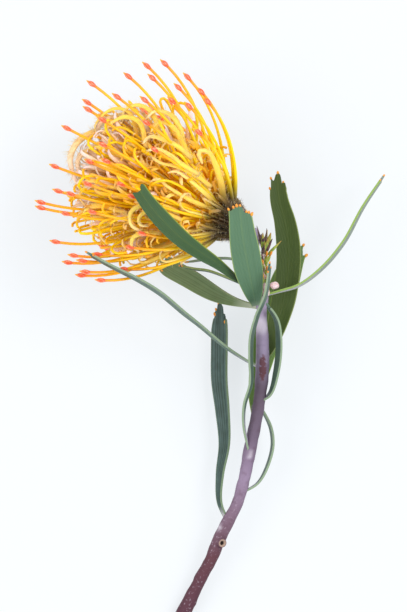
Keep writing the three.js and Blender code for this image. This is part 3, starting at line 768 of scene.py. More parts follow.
LEAVES = {
    "leaf_front": leaf_of(
        route=[
            (18.2, 18, 34.5), (17.6, 21.6, 40), (16, 29, 46.4), (14.4, 37, 51.4), (12.8, 46.6, 56.4),
            (11.8, 56.4, 60),
        ],
        base=3.4, width=11.6, full=0.54, narrow=0.62, apex=0.78, turn=0, finish=bluish_leaf,
        end=[
            (-1, 0.2), (-0.86, -0.7), (-0.7, -0.4), (-0.55, 0.7), (-0.4, 0.5), (-0.25, 1.2), (-0.1, 0.7),
            (0.05, 1.1), (0.2, 0), (0.42, -2.3), (0.55, -1.7), (0.66, -2.5), (0.76, -2), (0.86, -3),
            (1, -2.8),
        ],
        glands=(-1, -0.55, -0.25, 0.05, 0.55, 0.76, 1),
    ),
    "leaf_over_head": leaf_of(
        route=[
            (20.4, 20, 32.6), (14.6, 25.2, 37.4), (9, 29.6, 44), (2.8, 34.4, 51.2), (-4, 38.8, 57.8),
            (-11.2, 44, 63.6), (-18, 50.4, 68.4), (-24, 57.2, 72.4), (-28.4, 63.6, 75.4),
        ],
        base=0.4, width=9.2, full=0.74, narrow=0.76, apex=0.8, turn=-42, fold=0.12, finish=deep_leaf,
        end=[(-1, 1.2), (-0.6, 0.2), (-0.2, -0.6), (0.3, -1), (0.55, 0.2), (0.8, 0.6), (1, -0.4)],
        glands=(), plain_side=-1,
    ),
    "leaf_under_head": leaf_of(
        route=[
            (19, 17.2, 31), (10, 19.3, 27), (2, 22.6, 20), (-8, 28.5, 12.4), (-17, 33.6, 7.4), (-20, 36, 6.4),
        ],
        base=1.6, width=8.2, narrow=0.75, apex=0.7, turn=20, finish=dusky_leaf,
    ),
    "leaf_sliver_upper": leaf_of(
        route=[(20.6, 23, 32.6), (11.2, 27.2, 28), (0, 31.6, 22.4), (-6.4, 32.6, 18.6), (-11.6, 33.6, 16)],
        width=5, turn=85, fold=0.06, finish=slate_leaf,
    ),
    "leaf_sliver_lower": leaf_of(
        route=[
            (20.4, 29, 33.6), (15.5, 34, 29), (9.2, 36.4, 26), (3.6, 36.8, 23), (-4, 36, 18.6),
            (-9.2, 35.2, 15.8),
        ],
        width=5, turn=86, fold=0.06, finish=slender_leaf,
    ),
    "leaf_long_left": leaf_of(
        route=[
            (20.6, -7.2, 25), (14.4, -4, 24), (6, 1.6, 24.6), (-4, 10, 29), (-10, 14.8, 33.4),
            (-19.6, 22.8, 42), (-27.6, 27.8, 47), (-40, 34, 52), (-48.4, 38.6, 54.8),
        ],
        width=7, turn=78, finish=slender_leaf,
    ),
    "leaf_crossing": leaf_of(
        route=[
            (15.4, -40, 20.4), (13.4, -30, 25.4), (13.6, -22, 28.6), (16.1, -13, 31), (15.9, -3.6, 33.4),
            (16.2, 5, 36.6), (18.4, 13.6, 41.6), (22, 22.6, 47.6), (23.6, 34, 50.4),
        ],
        base=2, width=6.6, turn=-78, fold=0.12, finish=slender_leaf,
    ),
    "leaf_right_broad": leaf_of(
        route=[
            (21, -5, 26.2), (23.3, -0.4, 25.6), (25.6, 6, 25), (28.2, 15.2, 24.8), (30.2, 24, 24.8),
            (31.4, 34, 25), (31.3, 42, 25.4), (30, 51.2, 25.4), (27.7, 60, 25.2), (26.9, 69.4, 25),
        ],
        width=9.8, full=0.42, narrow=0.62, apex=0.68, turn=10, fold=0.12, finish=olive_leaf,
        end=[
            (-1, -4.6), (-0.88, -5.2), (-0.78, -0.6), (-0.5, -1.6), (-0.1, 0.9), (0.15, 1.4), (0.35, 0.6),
            (0.5, -3.2), (0.66, -2.6), (0.85, -2.8), (1, -5),
        ],
        glands=(-1, -0.78, 0.1, 0.66),
    ),
    "leaf_right_back": leaf_of(
        route=[
            (17.8, -28, 20.2), (17.6, -19, 18.6), (19.6, -9, 17.2), (21.8, 2, 15.4), (24.4, 12, 12.8),
            (28, 21.6, 9.2), (31.6, 31.2, 5), (35.5, 40.2, 1.6),
        ],
        width=11.4, full=0.5, narrow=0.78, apex=0.66, turn=0, fold=0.04, finish=fresh_leaf,
        end=[(-1, -3.4), (-0.5, -2), (0, 1.4), (0.3, 2.6), (0.45, 0.2), (0.7, -1.6), (1, -1)],
        glands=(-1, 0.3, 1),
    ),
    "leaf_right_long": leaf_of(
        route=[
            (22, 22, 34.6), (28, 23.6, 35.6), (35.6, 26.1, 35.4), (44.8, 33.1, 32.4), (53.2, 43.1, 28),
            (61.1, 57.2, 22), (69.2, 69.2, 16.6),
        ],
        width=6, turn=-79, fold=0.08, finish=lilac_leaf,
    ),
    "leaf_bow": leaf_of(
        route=[
            (20, -20.6, 23.4), (24, -17.6, 25.4), (26.7, -8.8, 27.8), (27.8, 2, 30.8), (26.8, 11.6, 34.2),
            (22.8, 18.2, 38.8),
        ],
        width=6, full=0.5, narrow=0.6, apex=0.5, turn=70, finish=slender_leaf, glands=(),
    ),
    "leaf_hanging": leaf_of(
        route=[
            (6.8, -68.2, 12.3), (4, -61, 11.4), (4.3, -50, 10.6), (6.3, -37.6, 10), (5.7, -24, 9.4),
            (4.6, -12, 9), (4.6, 0, 8.4), (4.7, 10, 7.9), (4.7, 17.2, 7.6),
        ],
        base=1.6, width=9, full=0.7, narrow=0.82, apex=0.66, turn=46, fold=0.3, finish=grey_leaf,
        end=[
            (-1, -2.8), (-0.86, -1), (-0.72, -1.6), (-0.55, 1.4), (-0.2, 1.6), (0.1, 0.2), (0.3, -2.8),
            (0.6, -2.8), (0.8, -3.8), (1, -6),
        ],
        glands=(-1, -0.86, -0.5, 1),
    ),
    "leaf_lower_right": leaf_of(
        route=[
            (13.4, -57, 15), (19, -53.6, 14.4), (22.5, -48.2, 13.4), (25.3, -38.6, 12.4), (24.5, -31, 11.6),
            (21.4, -24.6, 10.8), (17.4, -18, 10.2),
        ],
        width=5.6, full=0.5, narrow=0.6, apex=0.55, turn=81, finish=slender_leaf,
    ),
}
print("leaves:", len(LEAVES))

# %% A place on a leaf
FULL_TEETH_WIDTH = 9


def half_width(leaf, share):
    swell = mix(leaf["base"], leaf["width"], smooth(share, -0.04, leaf["full"]))
    return swell * mix(1, leaf["apex"], smooth(share, leaf["narrow"], 1)) / 2


def smallness(leaf):
    """Teeth and glands are smaller on a narrow leaf."""
    return min(1, leaf["width"] / FULL_TEETH_WIDTH)


def on_leaf(leaf, share, side, past=0.0):
    """A place on the leaf: share runs from stem to tip, side from one margin at -1 to the other at 1."""
    ahead = heading(leaf["route"], share)
    level = ahead.cross(UP).normalized()
    rise = level.cross(ahead)
    turn = math.radians(leaf["turn"])
    across = level * math.cos(turn) + rise * math.sin(turn)
    face = rise * math.cos(turn) - level * math.sin(turn)
    half = half_width(leaf, share)
    lift = abs(side) ** 1.5 * leaf["fold"] * half
    place = through(leaf["route"], share) + across * side * half + face * lift
    return place + ahead * past * smallness(leaf)


def tooth_at(end, side):
    """How far the leaf's end runs past its last row there, from a row of (side, past) places."""
    for (s0, past0), (s1, past1) in zip(end, end[1:]):
        if side <= s1:
            return mix(past0, past1, smooth(side, s0, s1))
    return end[-1][1]


sample = LEAVES["leaf_front"]
print("the front leaf's widest half is", round(max(half_width(sample, i / 20) for i in range(21)), 1), "mm")

# %% Make the leaves
LEAF_ROWS, LEAF_COLUMNS = 56, 30
TEETH_FROM, FAR_FROM_RIM = 0.9, 9
MARGIN_BEVEL, BEVEL_ANGLE = 0.3, 50
GLAND_LENGTH, GLAND_RADIUS = 1.6, 0.56
draw = generator(13)


def leaf_blade(name, leaf):
    """One blade as a closed leathery plate, its place, margin distance and UV map set."""
    bm = bmesh.new()
    bm.loops.layers.uv.new("UVMap")
    bmesh.ops.create_grid(bm, x_segments=LEAF_COLUMNS, y_segments=LEAF_ROWS, size=1, calc_uvs=True)
    rim = bm.verts.layers.float.new("rim")
    for vert in bm.verts:
        side, share = vert.co.x, (vert.co.y + 1) / 2
        past = tooth_at(leaf["end"], side) * smooth(share, TEETH_FROM, 1)
        plain = side * leaf["plain_side"] > 0.5
        vert[rim] = FAR_FROM_RIM if plain else (1 - abs(side)) * half_width(leaf, share)
        vert.co = on_leaf(leaf, share, side, past)
    bmesh.ops.recalc_face_normals(bm, faces=bm.faces)
    piece = add_piece(name + "_blade", bm, leaf["finish"], "leaf", name)
    plate = piece.modifiers.new("thickness", "SOLIDIFY")
    plate.thickness = LEAF_THICKNESS * MM
    plate.offset = 0
    bevel = piece.modifiers.new("soft margin", "BEVEL")
    bevel.width = MARGIN_BEVEL * MM
    bevel.segments = 2
    bevel.limit_method = "ANGLE"
    bevel.angle_limit = math.radians(BEVEL_ANGLE)


def gland_lines(leaf):
    """The short swollen glands on the teeth of the leaf's end."""
    lines = []
    for side in leaf["glands"]:
        past = tooth_at(leaf["end"], side)
        tip = on_leaf(leaf, 1, side, past)
        ahead = (tip - on_leaf(leaf, 1, side * 0.8, past - 2)).normalized()
        size = smallness(leaf) * mix(0.8, 1.15, draw())
        points = [tip + ahead * step * GLAND_LENGTH * size for step in (-0.55, -0.2, 0.1, 0.35, 0.5)]
        radii = [GLAND_RADIUS * size * r for r in (0.5, 0.95, 1, 0.7, 0.25)]
        lines.append({"points": points, "radii": radii})
    return lines


for leaf_name, leaf in LEAVES.items():
    leaf_blade(leaf_name, leaf)
all_glands = [line for leaf in LEAVES.values() for line in gland_lines(leaf)]
add_piece("leaf_glands", tubes(all_glands, sides=9), gland_orange, "leaf")

# %% [markdown]
# ## The shoot's tip and the bud
#
# Beside the flower the shoot goes on as a cluster of young leaves and dark bracts, and a small pale bud
# sits in the axil of the long right leaf. The young leaves are small flattened tubes with a gutter along
# the middle, turned by chance so that no two are alike.

# %% Make the shoot's tip
SHOOT_AXIS = [(22.4, 22, 35.8), (22.2, 28.6, 38.2), (21.9, 32.6, 39.6), (21.5, 36, 41), (21.3, 39.4, 41.8)]
TIP_LEAVES = [
    ((21.6, 38, 41), (24.2, 46.8, 42.4), 2.6), ((21.4, 38.4, 41), (21, 46.8, 42.4), 2),
    ((21.4, 38, 40.8), (22.8, 48, 40.4), 1.8), ((22, 39, 42), (23.2, 44.4, 44.6), 2.2),
    ((21.8, 37, 40.8), (28.4, 43.6, 42), 1.3), ((21.4, 38, 42), (22, 43, 44.8), 1.5),
]
GLAND_LEAVES = [
    ((21.8, 32, 39.4), (22.6, 38.8, 44), 1.8), ((22.2, 34, 39.6), (24.4, 38.8, 43.4), 1.6),
    ((22, 29, 38.2), (22.8, 33, 42.4), 1.6), ((21.4, 30, 38.6), (20.9, 35.4, 43.4), 1.5),
    ((22, 25.6, 37.2), (22.7, 29.4, 41), 1.4), ((21.4, 26, 37.2), (21, 30, 41), 1.3),
]
DARK_BRACTS = [
    ((21.2, 38.4, 41), (18.6, 49.6, 41), 1.5), ((21, 37.4, 41.4), (24.8, 44.4, 45), 1.9),
    ((20.6, 38, 41.6), (21.6, 41.8, 45.2), 1.8), ((20.2, 42.6, 41.6), (22.2, 45.2, 43.6), 1.3),
    ((19.6, 43.4, 41.4), (20.6, 46.4, 42.4), 1.2), ((21.2, 34, 41.6), (20.6, 38.4, 44.4), 1.2),
    ((21.2, 31, 40.6), (20.8, 34, 43.4), 1.1), ((21.8, 39, 42), (22.6, 48.6, 42), 1),
]
BLADE_SHAPE = (0.35, 0.62, 0.88, 1, 0.92, 0.7, 0.42, 0.14)
AXIS_RINGS = 16
GLAND_SHAPE = ((-1.6, 0.24), (-0.9, 0.44), (-0.2, 0.5), (0.4, 0.38), (0.8, 0.12))


def blade_tube(line, half, side, flat, gutter, tone):
    """A small pointed blade: a flattened tube on its line, as broad at its widest as twice the half."""
    return {
        "points": line.spread(len(BLADE_SHAPE)),
        "radii": [half * share for share in BLADE_SHAPE],
        "side": side,
        "flat": flat,
        "gutter": gutter,
        "tone": tone,
    }


def bellied_blade(root, tip, width, turn, bulge, tone):
    """A blade from root to tip that bellies upwards by the bulge."""
    root, tip = Vector(root), Vector(tip)
    line = curve_line([root, mix(root, tip, 0.55) + UP * bulge, tip])
    side = turned((tip - root).cross(UP).normalized(), turn, (tip - root).normalized())
    return blade_tube(line, width / 2, side, 0.26, 0.3, tone)


draw = generator(17)


def blades(measured, spread, bulge):
    """Blades from a list of root, tip and width, turned by chance within the spread."""
    return [
        bellied_blade(root, tip, width, spread * (draw() - 0.5), bulge, draw())
        for root, tip, width in measured
    ]


leaflet_lines = blades(TIP_LEAVES, 60, 0.7)
gland_leaf_lines = blades(GLAND_LEAVES, 60, 0.5)
bract_blades = blades(DARK_BRACTS, 90, 0.5)
axis_tube = {
    "points": curve_line([Vector(place) for place in SHOOT_AXIS]).spread(AXIS_RINGS),
    "radii": [
        mix(1.35, 0.8, i / (AXIS_RINGS - 1)) * (1 + 0.12 * math.sin(i * 2.4)) for i in range(AXIS_RINGS)
    ],
}
add_piece("shoot_tip_axis", tubes([axis_tube], sides=14), bud_skin, "young_leaf", "shoot_tip")
add_piece("shoot_tip_leaves", tubes(leaflet_lines + gland_leaf_lines, sides=10), young_leaf, "young_leaf")
add_piece("shoot_tip_bracts", tubes(bract_blades, sides=8), bract_brown, "bract")
tip_glands = []
for line in gland_leaf_lines:
    end, before = line["points"][-1], line["points"][-3]
    ahead = (end - before).normalized()
    points = [end + ahead * step for step, _ in GLAND_SHAPE]
    tip_glands.append({"points": points, "radii": [radius for _, radius in GLAND_SHAPE]})
add_piece("shoot_tip_glands", tubes(tip_glands, sides=8), gland_orange, "young_leaf")

# %% Make the bud
BUD_MIDDLE, BUD_HALVES = Vector((25.7, 25.8, 36)), (1.8, 1.5, 1.45)
bud_bm = bmesh.new()
bud_bm.loops.layers.uv.new("UVMap")
bmesh.ops.create_uvsphere(bud_bm, u_segments=28, v_segments=18, radius=1, calc_uvs=True)
for vert in bud_bm.verts:
    turn = math.atan2(vert.co.y, vert.co.x)
    vert.co *= 1 + 0.06 * math.sin(3 * turn + 5 * vert.co.z)
    vert.co = BUD_MIDDLE + Vector(a * half for a, half in zip((vert.co.z, vert.co.x, vert.co.y), BUD_HALVES))
bmesh.ops.recalc_face_normals(bud_bm, faces=bud_bm.faces)
add_piece("bud_scales", bud_bm, bud_skin, "bud", "axillary_bud")

# %% [markdown]
# ## The head: where each floret stands
#
# Each open floret sends its style to a place on a dome. The tips that show in the photograph have measured
# places, and each has a partner on the side that faces the surface, because a real head is round. The head
# has its own frame: Y along its axis, X across and Z up.

# %% The head's frame and the tips
HEAD_BASE = Vector((11.2, 50, 38))
HEAD_TURN = 65
HEAD_AXIS = Vector((0, 1, 0))
INTO_WORLD = Matrix.Translation(HEAD_BASE) @ Matrix.Rotation(math.radians(HEAD_TURN), 4, "Z")
INTO_HEAD = INTO_WORLD.inverted()
DOME_RADIUS, DOME_MIDDLE, DOME_RISE = 45.5, 46, 33
NEAR_SQUEEZE, FAR_SQUEEZE = 0.84, 0.97
EDGE_SPREAD, PARTNER_SHIFT = 9, 2.4
PARTNER_PULL, PARTNER_CENTRE = 0.7, 30
FAN_FOOT, FAN_SPREAD = 10, 60
TIPS_SEEN = [
    (46.5, 56), (42.5, 62), (39, 58), (35.5, 67), (26.5, 79), (26, 67.5), (19, 77.5), (16.5, 76), (15, 69),
    (6, 80.5), (-10, 78.5), (-18.5, 73), (-17.5, 68), (-25.5, 77.5), (-27.5, 76.5), (-25.5, 66.5),
    (-37.5, 65.5), (-39.5, 56.5), (-35, 48), (-43, 57.5), (-40, 52.5), (-45.5, 50.5), (-43.5, 49.5),
    (-44, 42.5), (-36, 36), (45.5, 45.5), (42.5, 38), (40, 47), (35, 40), (34, 47), (29.5, 57), (40, 34),
    (21.5, 52.5), (27, 32), (6, 64.5), (-2.5, 66.5), (0.5, 60.5), (-11, 63.5), (-5.5, 51.5), (-8, 45.5),
    (-20.5, 57), (-27, 37.5), (-20, 35.5), (13, 45),
]


def dome_radius(along):
    climb = max(0, (along - DOME_MIDDLE) / DOME_RISE)
    return DOME_RADIUS * math.sqrt(max(0, 1 - climb * climb))


def height_on_dome(across, along, least):
    room = dome_radius(along) ** 2 - across**2
    return max(math.sqrt(room) if room > 0 else 0, least)


def floret_tips():
    """Where each open floret's style ends, and its share of the way up the receptacle."""
    draw = generator(7)
    tips = []

    def add(across, along, height):
        away = math.atan2(math.hypot(across, height), along - FAN_FOOT)
        share = held(1 - away / math.radians(FAN_SPREAD))
        height *= NEAR_SQUEEZE if height > 0 else FAR_SQUEEZE
        tips.append({"across": across, "along": along, "height": height, "share": share})

    for across, along in TIPS_SEEN:
        spread = EDGE_SPREAD * (0.3 + draw())
        add(across, along, height_on_dome(across, along, spread))
        sideways, deeper = (PARTNER_SHIFT * (draw() - 0.5) for _ in range(2))
        across = across * PARTNER_PULL + sideways
        along = mix(PARTNER_CENTRE, along, PARTNER_PULL) + deeper
        add(across, along, -height_on_dome(across, along, spread))
    return tips


tips = floret_tips()
print("open florets:", len(tips))

# %% Room under the leaves and over the surface
LEAF_CLEARANCE = 1.9
REST_CLEARANCE = 0.45
LEAVES_OVER_HEAD = (("leaf_front", 1), ("leaf_over_head", 1), ("leaf_long_left", 1.4))
PLACES_ON_LEAF = 24
ceilings = []
for leaf_name, rise in LEAVES_OVER_HEAD:
    leaf = LEAVES[leaf_name]
    turn = math.radians(leaf["turn"])
    for i in range(PLACES_ON_LEAF + 1):
        half = half_width(leaf, i / PLACES_ON_LEAF)
        place = INTO_HEAD @ through(leaf["route"], i / PLACES_ON_LEAF)
        low = place.z - half * abs(math.sin(turn)) - LEAF_THICKNESS / 2 - LEAF_CLEARANCE
        ceilings.append((place.x, place.y, half * math.cos(turn) + 1, low, rise))


def settle(point, clearance=0.4):
    """Moves a place in the head down out of the leaves' way and up off the surface."""
    ceiling = min(
        low + rise * max(0, math.hypot(point.x - x, point.y - y) - reach)
        for x, y, reach, low, rise in ceilings
    )
    point.z = max(min(point.z, ceiling), REST_CLEARANCE + clearance - HEAD_BASE.z)
    return point


print("places under leaves:", len(ceilings))

# %% The lines of the styles
ROOT_OUT, ROOT_ALONG = (8, 3), (5.2, 42)
LEAVING_LEAN, ARRIVING_LEAN = 74, 20
STYLE_SAMPLES = 60
# How far the browned feet reach: short dark hairs and painted shade near the cup.
DARK_FOOT_ALONG, DARK_FOOT_ASIDE = (6, 19), (7, 19)


def mark_feet(bm):
    """Notes how near each place is to the cup, as 1 next to it and 0 well away from it; the finishes brown it
    there with dark hairs and painted shade.
    """
    foot = bm.verts.layers.float.new("foot")
    for vert in bm.verts:
        aside = math.hypot(vert.co.x, vert.co.z * 0.3)
        vert[foot] = (1 - smooth(vert.co.y, *DARK_FOOT_ALONG)) * (1 - smooth(aside, *DARK_FOOT_ASIDE))
    return bm


def outward_at(turn):
    return Vector((math.cos(turn), 0, math.sin(turn)))


def in_head(outward, out, along):
    """A place so far out from the head's axis and so far along it."""
    return outward * out + HEAD_AXIS * along


def leaning(outward, degrees):
    """The direction that leans out from the head's axis by so much."""
    return in_head(outward, math.sin(math.radians(degrees)), math.cos(math.radians(degrees)))


def style_line(tip):
    """The style's line: it leaves the receptacle nearly square to it and curves in towards its tip."""
    share = tip["share"]
    outward = outward_at(math.atan2(tip["height"], tip["across"]))
    root = in_head(outward, mix(*ROOT_OUT, share), mix(*ROOT_ALONG, share))
    end = Vector((tip["across"], tip["along"], tip["height"]))
    chord = (end - root).length
    leave = root + leaning(outward, mix(LEAVING_LEAN, 0, share**1.4)) * chord * 0.4
    arrive = end - leaning(outward, mix(ARRIVING_LEAN, 0, share)) * chord * 0.3
    samples = []
    for i in range(STYLE_SAMPLES + 1):
        t = i / STYLE_SAMPLES
        a, b, c, d = (1 - t) ** 3, 3 * (1 - t) ** 2 * t, 3 * (1 - t) * t**2, t**3
        samples.append(root * a + leave * b + arrive * c + end * d)
    return Line(samples)


style_lines = [style_line(tip) for tip in tips]
shortest, longest = (round(pick(line.length for line in style_lines)) for pick in (min, max))
print("styles measure", shortest, "to", longest, "mm")

# %% [markdown]
# ## The receptacle and the styles
#
# The receptacle is the woody cone that carries the florets, with their packed hairy feet on it. It is a
# profile spun round the head's axis. A style is a wiry stalk that ends in a swollen, pointed pollen
# presenter: one tube whose last rings swell and close. The material colours it by its V coordinate, from
# yellow at the foot through gold to the orange-red presenter with its yellow point.

# %% Make the receptacle
CORE_PROFILE = [
    (0, 0), (5.6, 0), (7, 3), (12, 9), (18, 16), (21, 24), (22, 32), (21.4, 40), (18.6, 48), (13.6, 55),
    (7, 60), (0, 62),
]
CORE_SHARE, CORE_LENGTH_SHARE = 0.8, 0.93
CORE_STEPS, CORE_CUTS, CORE_BUMPS = 72, 3, 1.6


def core_radius(along):
    for (r0, y0), (r1, y1) in zip(CORE_PROFILE[1:], CORE_PROFILE[2:]):
        if along < y1:
            return CORE_SHARE * mix(r0, r1, (along - y0) / (y1 - y0))
    return 0


def into_world(bm):
    bmesh.ops.transform(bm, matrix=INTO_WORLD, verts=bm.verts)
    return bm


def spun(profile, steps, cuts=0):
    """A profile of radius and place along the axis, spun round the head's axis into a closed skin."""
    bm = bmesh.new()
    ring = [bm.verts.new((radius, along, 0)) for radius, along in profile]
    edges = [bm.edges.new(pair) for pair in zip(ring, ring[1:])]
    if cuts:
        bmesh.ops.subdivide_edges(bm, edges=edges, cuts=cuts)
    bmesh.ops.spin(
        bm, geom=bm.verts[:] + bm.edges[:], cent=(0, 0, 0), axis=(0, 1, 0),
        angle=2 * math.pi, steps=steps, use_merge=True,
    )
    bmesh.ops.remove_doubles(bm, verts=bm.verts, dist=0.001)
    bmesh.ops.recalc_face_normals(bm, faces=bm.faces)
    return bm


core_profile = [(radius * CORE_SHARE, along * CORE_LENGTH_SHARE) for radius, along in CORE_PROFILE]
core_bm = spun(core_profile, CORE_STEPS, CORE_CUTS)
for vert in core_bm.verts:
    vert.co += vert.normal * CORE_BUMPS * noise.noise(vert.co * 0.45)
add_piece("receptacle_core", into_world(mark_feet(core_bm)), core_brown, "floret")

# %% Make the styles
PRESENTER_LENGTH = 4.4
STYLE_RINGS, STYLE_RADII = 14, (0.92, 0.56)
PRESENTER_SHAPE = [(0.1, 0.64), (0.26, 0.88), (0.46, 1.0), (0.64, 0.8), (0.8, 0.44), (1, 0.16)]
draw = generator(3)


def style_tube(line, tone):
    neck = 1 - PRESENTER_LENGTH / line.length
    shares = [neck * i / (STYLE_RINGS - 1) for i in range(STYLE_RINGS)]
    radii = [mix(*STYLE_RADII, smooth(share, 0, 0.55)) for share in shares]
    for share, radius in PRESENTER_SHAPE:
        shares.append(mix(neck, 1, share))
        radii.append(radius)
    points = [settle(line.at(share), radius - 0.4) for share, radius in zip(shares, radii)]
    return {"points": points, "radii": radii, "tone": tone}


style_tubes = []
for line, tip in zip(style_lines, tips):
    warmth = smooth(-tip["across"], -40, 20) * 0.7
    style_tubes.append(style_tube(line, held(warmth + 0.3 * draw())))
add_piece("styles", into_world(mark_feet(tubes(style_tubes, sides=8))), style_gold, "floret", "flower_head")

# %% [markdown]
# ## The perianths
#
# Before it opens, each style is held in a hairy tube. The tube splits into lobes that run beside the style
# for a while and then roll back, cream to peach. A broad lobe and a narrow one stand at each open style,
# apart from those at the open right edge. A skirt of plain lobes stands round the cup, and many more, short
# and golden, pack the inside of the head. A lobe is a tube pressed flat, with a gutter along it, and its
# rolled end is a shrinking spiral that leans a little to one side.

# %% Helpers for curled lobes
LOBE_RINGS, CURL_STEPS = 18, 6


def curled(straight, ahead, side, curl, turns, drift):
    """A line that follows some points and then rolls towards the side in a shrinking curl."""
    hub = straight[-1] + side * curl
    points = list(straight)
    for step in range(1, CURL_STEPS + 1):
        share = step / CURL_STEPS
        angle = math.radians(turns * step / CURL_STEPS)
        size = curl * mix(1, 0.6, share)
        rolled = ahead * math.sin(angle) * size - side * math.cos(angle) * size
        points.append(hub + rolled + drift * step / CURL_STEPS)
    return curve_line(points)


def lobe(line, width, side, tone, rings=LOBE_RINGS):
    """The flattened tube of one lobe on its line, narrower where it curls."""
    half = width / 2
    radii = []
    for i in range(rings):
        share = i / (rings - 1)
        radii.append(half * mix(1, 0.66, smooth(share, 0.5, 0.85)) * (1 - 0.6 * smooth(share, 0.93, 1)))
    points = [settle(place, half - 0.2) for place in line.spread(rings)]
    return {"points": points, "radii": radii, "side": side, "flat": 0.28, "gutter": 0.4, "tone": tone}


def lobe_beside(style, start, side, curl, width, turns, outward):
    ahead = style.ahead(start)
    offsets = [(0.0, 0.3), (0.3, 0.8), (0.65, 1.2), (1.0, 1.6)]
    straight = [style.at(start * step) + side * away for step, away in offsets]
    drift = ahead.cross(side) * (draw() - 0.5) * 4
    if drift.dot(outward) > 0:
        drift.negate()
    return lobe(curled(straight, ahead, side, curl, turns, drift), width, ahead.cross(side), draw())


print("a lobe has", LOBE_RINGS, "rings")

# %% Make the lobes of the open florets
SKIRT_LOBES, SKIRT_LEAN = 90, (74, 50)
SKIRT_LENGTH, SKIRT_WIDTH = (10, 19), (1.3, 2.1)
OPEN_LOBES = ((2.1, 0.4, 0.62), (1.3, 0.34, 0.56))
draw = generator(21)
sheath_lines = []
for line, tip in zip(style_lines, tips):
    outward = Vector((tip["across"], 0, tip["height"]))
    for width, low, high in OPEN_LOBES:
        start = mix(low, high, draw())
        ahead = line.ahead(start)
        swing = draw() * 2 * math.pi
        side = ahead.cross(Vector((math.cos(swing), 0.3, math.sin(swing)))).normalized()
        if tip["share"] < 0.6 and side.dot(outward) > 0:
            side.negate()
        edge = smooth(tip["across"], 18, 34)
        if edge > 0.5:
            continue
        curl, turns = 2.4 + 1.8 * draw(), mix(110, 260, draw()) * mix(1, 0.2, edge)
        width *= mix(1, 0.6, edge)
        sheath_lines.append(lobe_beside(line, start, side, curl, width, turns, outward))
for k in range(SKIRT_LOBES):
    tier = (k + 0.5) / SKIRT_LOBES
    outward = outward_at(k * GOLDEN_ANGLE)
    beside = smooth(abs(outward.x), 0.3, 0.95)
    slope = (mix(*SKIRT_LEAN, tier) + 14 * (draw() - 0.5)) * mix(1, 0.5, beside)
    ahead = leaning(outward, slope)
    root = in_head(outward, mix(3.6, 5.6, tier), mix(-0.6, 4.6, tier))
    reach = mix(*SKIRT_LENGTH, draw()) * mix(1, 0.7, beside)
    sideways = ahead.cross(outward_at(draw() * 7)).normalized()
    bent = root + ahead * reach * 0.55 - HEAD_AXIS * 1.6 + sideways
    end = root + ahead * reach + HEAD_AXIS * (1.5 + 3 * draw()) + sideways * 2 * draw()
    sheath_lines.append(lobe(curve_line([root, bent, end]), mix(*SKIRT_WIDTH, draw()), sideways, draw()))
add_piece("perianth_lobes", into_world(mark_feet(tubes(sheath_lines, sides=8))), sheath_silk, "floret")

# %% Make the lobes that stand out
LOBES_SEEN = [
    (2.8, [
        (6.2, 8.8, 12), (11, 12.3, 18), (17.9, 18.5, 24), (21, 23.1, 27), (19.4, 26.4, 27), (15.6, 23, 26),
    ]),
    (2.1, [
        (3.4, 10.4, 12), (4.8, 14.4, 18), (6.4, 19.3, 24), (8.2, 26.8, 28), (8.7, 31.4, 29), (6.6, 34, 28),
    ]),
    (1.9, [(1.4, 11, 12), (0.9, 15, 17), (0.6, 21.5, 24), (1.6, 31.6, 29), (2.8, 36.6, 30), (0.4, 38.8, 29)]),
    (1.9, [(-5, 8.7, 10), (-7.8, 11.9, 14), (-10.7, 16.3, 17), (-12.4, 20.8, 19), (-11.6, 24, 19)]),
    (2.1, [
        (-5.8, 22.9, 24), (-6.3, 31.5, 27), (-9.4, 38, 28), (-14.1, 40.6, 28), (-18.3, 38.2, 27),
        (-18.8, 33.6, 26),
    ]),
    (2, [
        (-7.7, 21.1, 24), (-7.8, 29, 27), (-10.7, 35.2, 28), (-14.6, 36.9, 28), (-16.8, 35, 28),
        (-15.8, 31.9, 27),
    ]),
    (1.9, [(-16, 26, 20), (-18.4, 31.6, 21), (-22.4, 35.6, 21), (-26, 34.6, 19), (-26.4, 31, 18)]),
    (1.9, [(11.3, 22.1, 28), (12.1, 29.9, 31), (13.5, 36.3, 31), (13.6, 41.7, 30), (11.1, 45.3, 28)]),
    (2, [(15.8, 27.7, 27), (17.8, 34.8, 28), (17.9, 41, 27), (16.6, 46.6, 25), (12.9, 48, 24)]),
    (1.8, [(9, 16, 22), (10.6, 24, 28), (10.4, 32, 30), (9, 38, 30), (9.8, 43, 28)]),
    (2.4, [(18.2, 31.9, 20), (25.3, 37.4, 20), (28.4, 43.3, 18), (26.9, 49.2, 16), (22.5, 51.1, 16)]),
    (2.2, [(14, 27, 22), (21, 35, 23), (24.4, 41, 22), (23, 46.4, 20), (18.6, 47, 20)]),
    (2.2, [(14, 50, 12), (22.3, 58, 11), (21.1, 64.5, 9), (15.3, 68, 7), (10.4, 68, 6), (8, 63, 6)]),
    (2.1, [(12, 46, 18), (20.2, 52.6, 16), (20, 58.7, 15), (15.1, 63, 13), (9.7, 64.3, 12)]),
    (2.2, [(18, 42, 16), (26, 50, 14), (26.4, 56.4, 12), (22, 60.4, 11), (17, 59, 11)]),
    (1.9, [(5.5, 47.3, 22), (4.6, 56.7, 18), (4.3, 63.2, 13), (1, 67, 9), (-2.5, 65, 8)]),
    (1.9, [(-14.6, 41.7, 20), (-15.8, 50, 16), (-17.8, 56.1, 11), (-22.1, 57.7, 8), (-24, 54.1, 7)]),
    (1.8, [(-6, 46, 20), (-9, 55, 15), (-12.4, 61, 10), (-17, 62, 7), (-19, 58, 6)]),
    (1.8, [(-17.1, 37.5, 18), (-19.2, 44, 14), (-23.9, 48.4, 10), (-27.9, 47.4, 8), (-29.2, 43, 8)]),
]
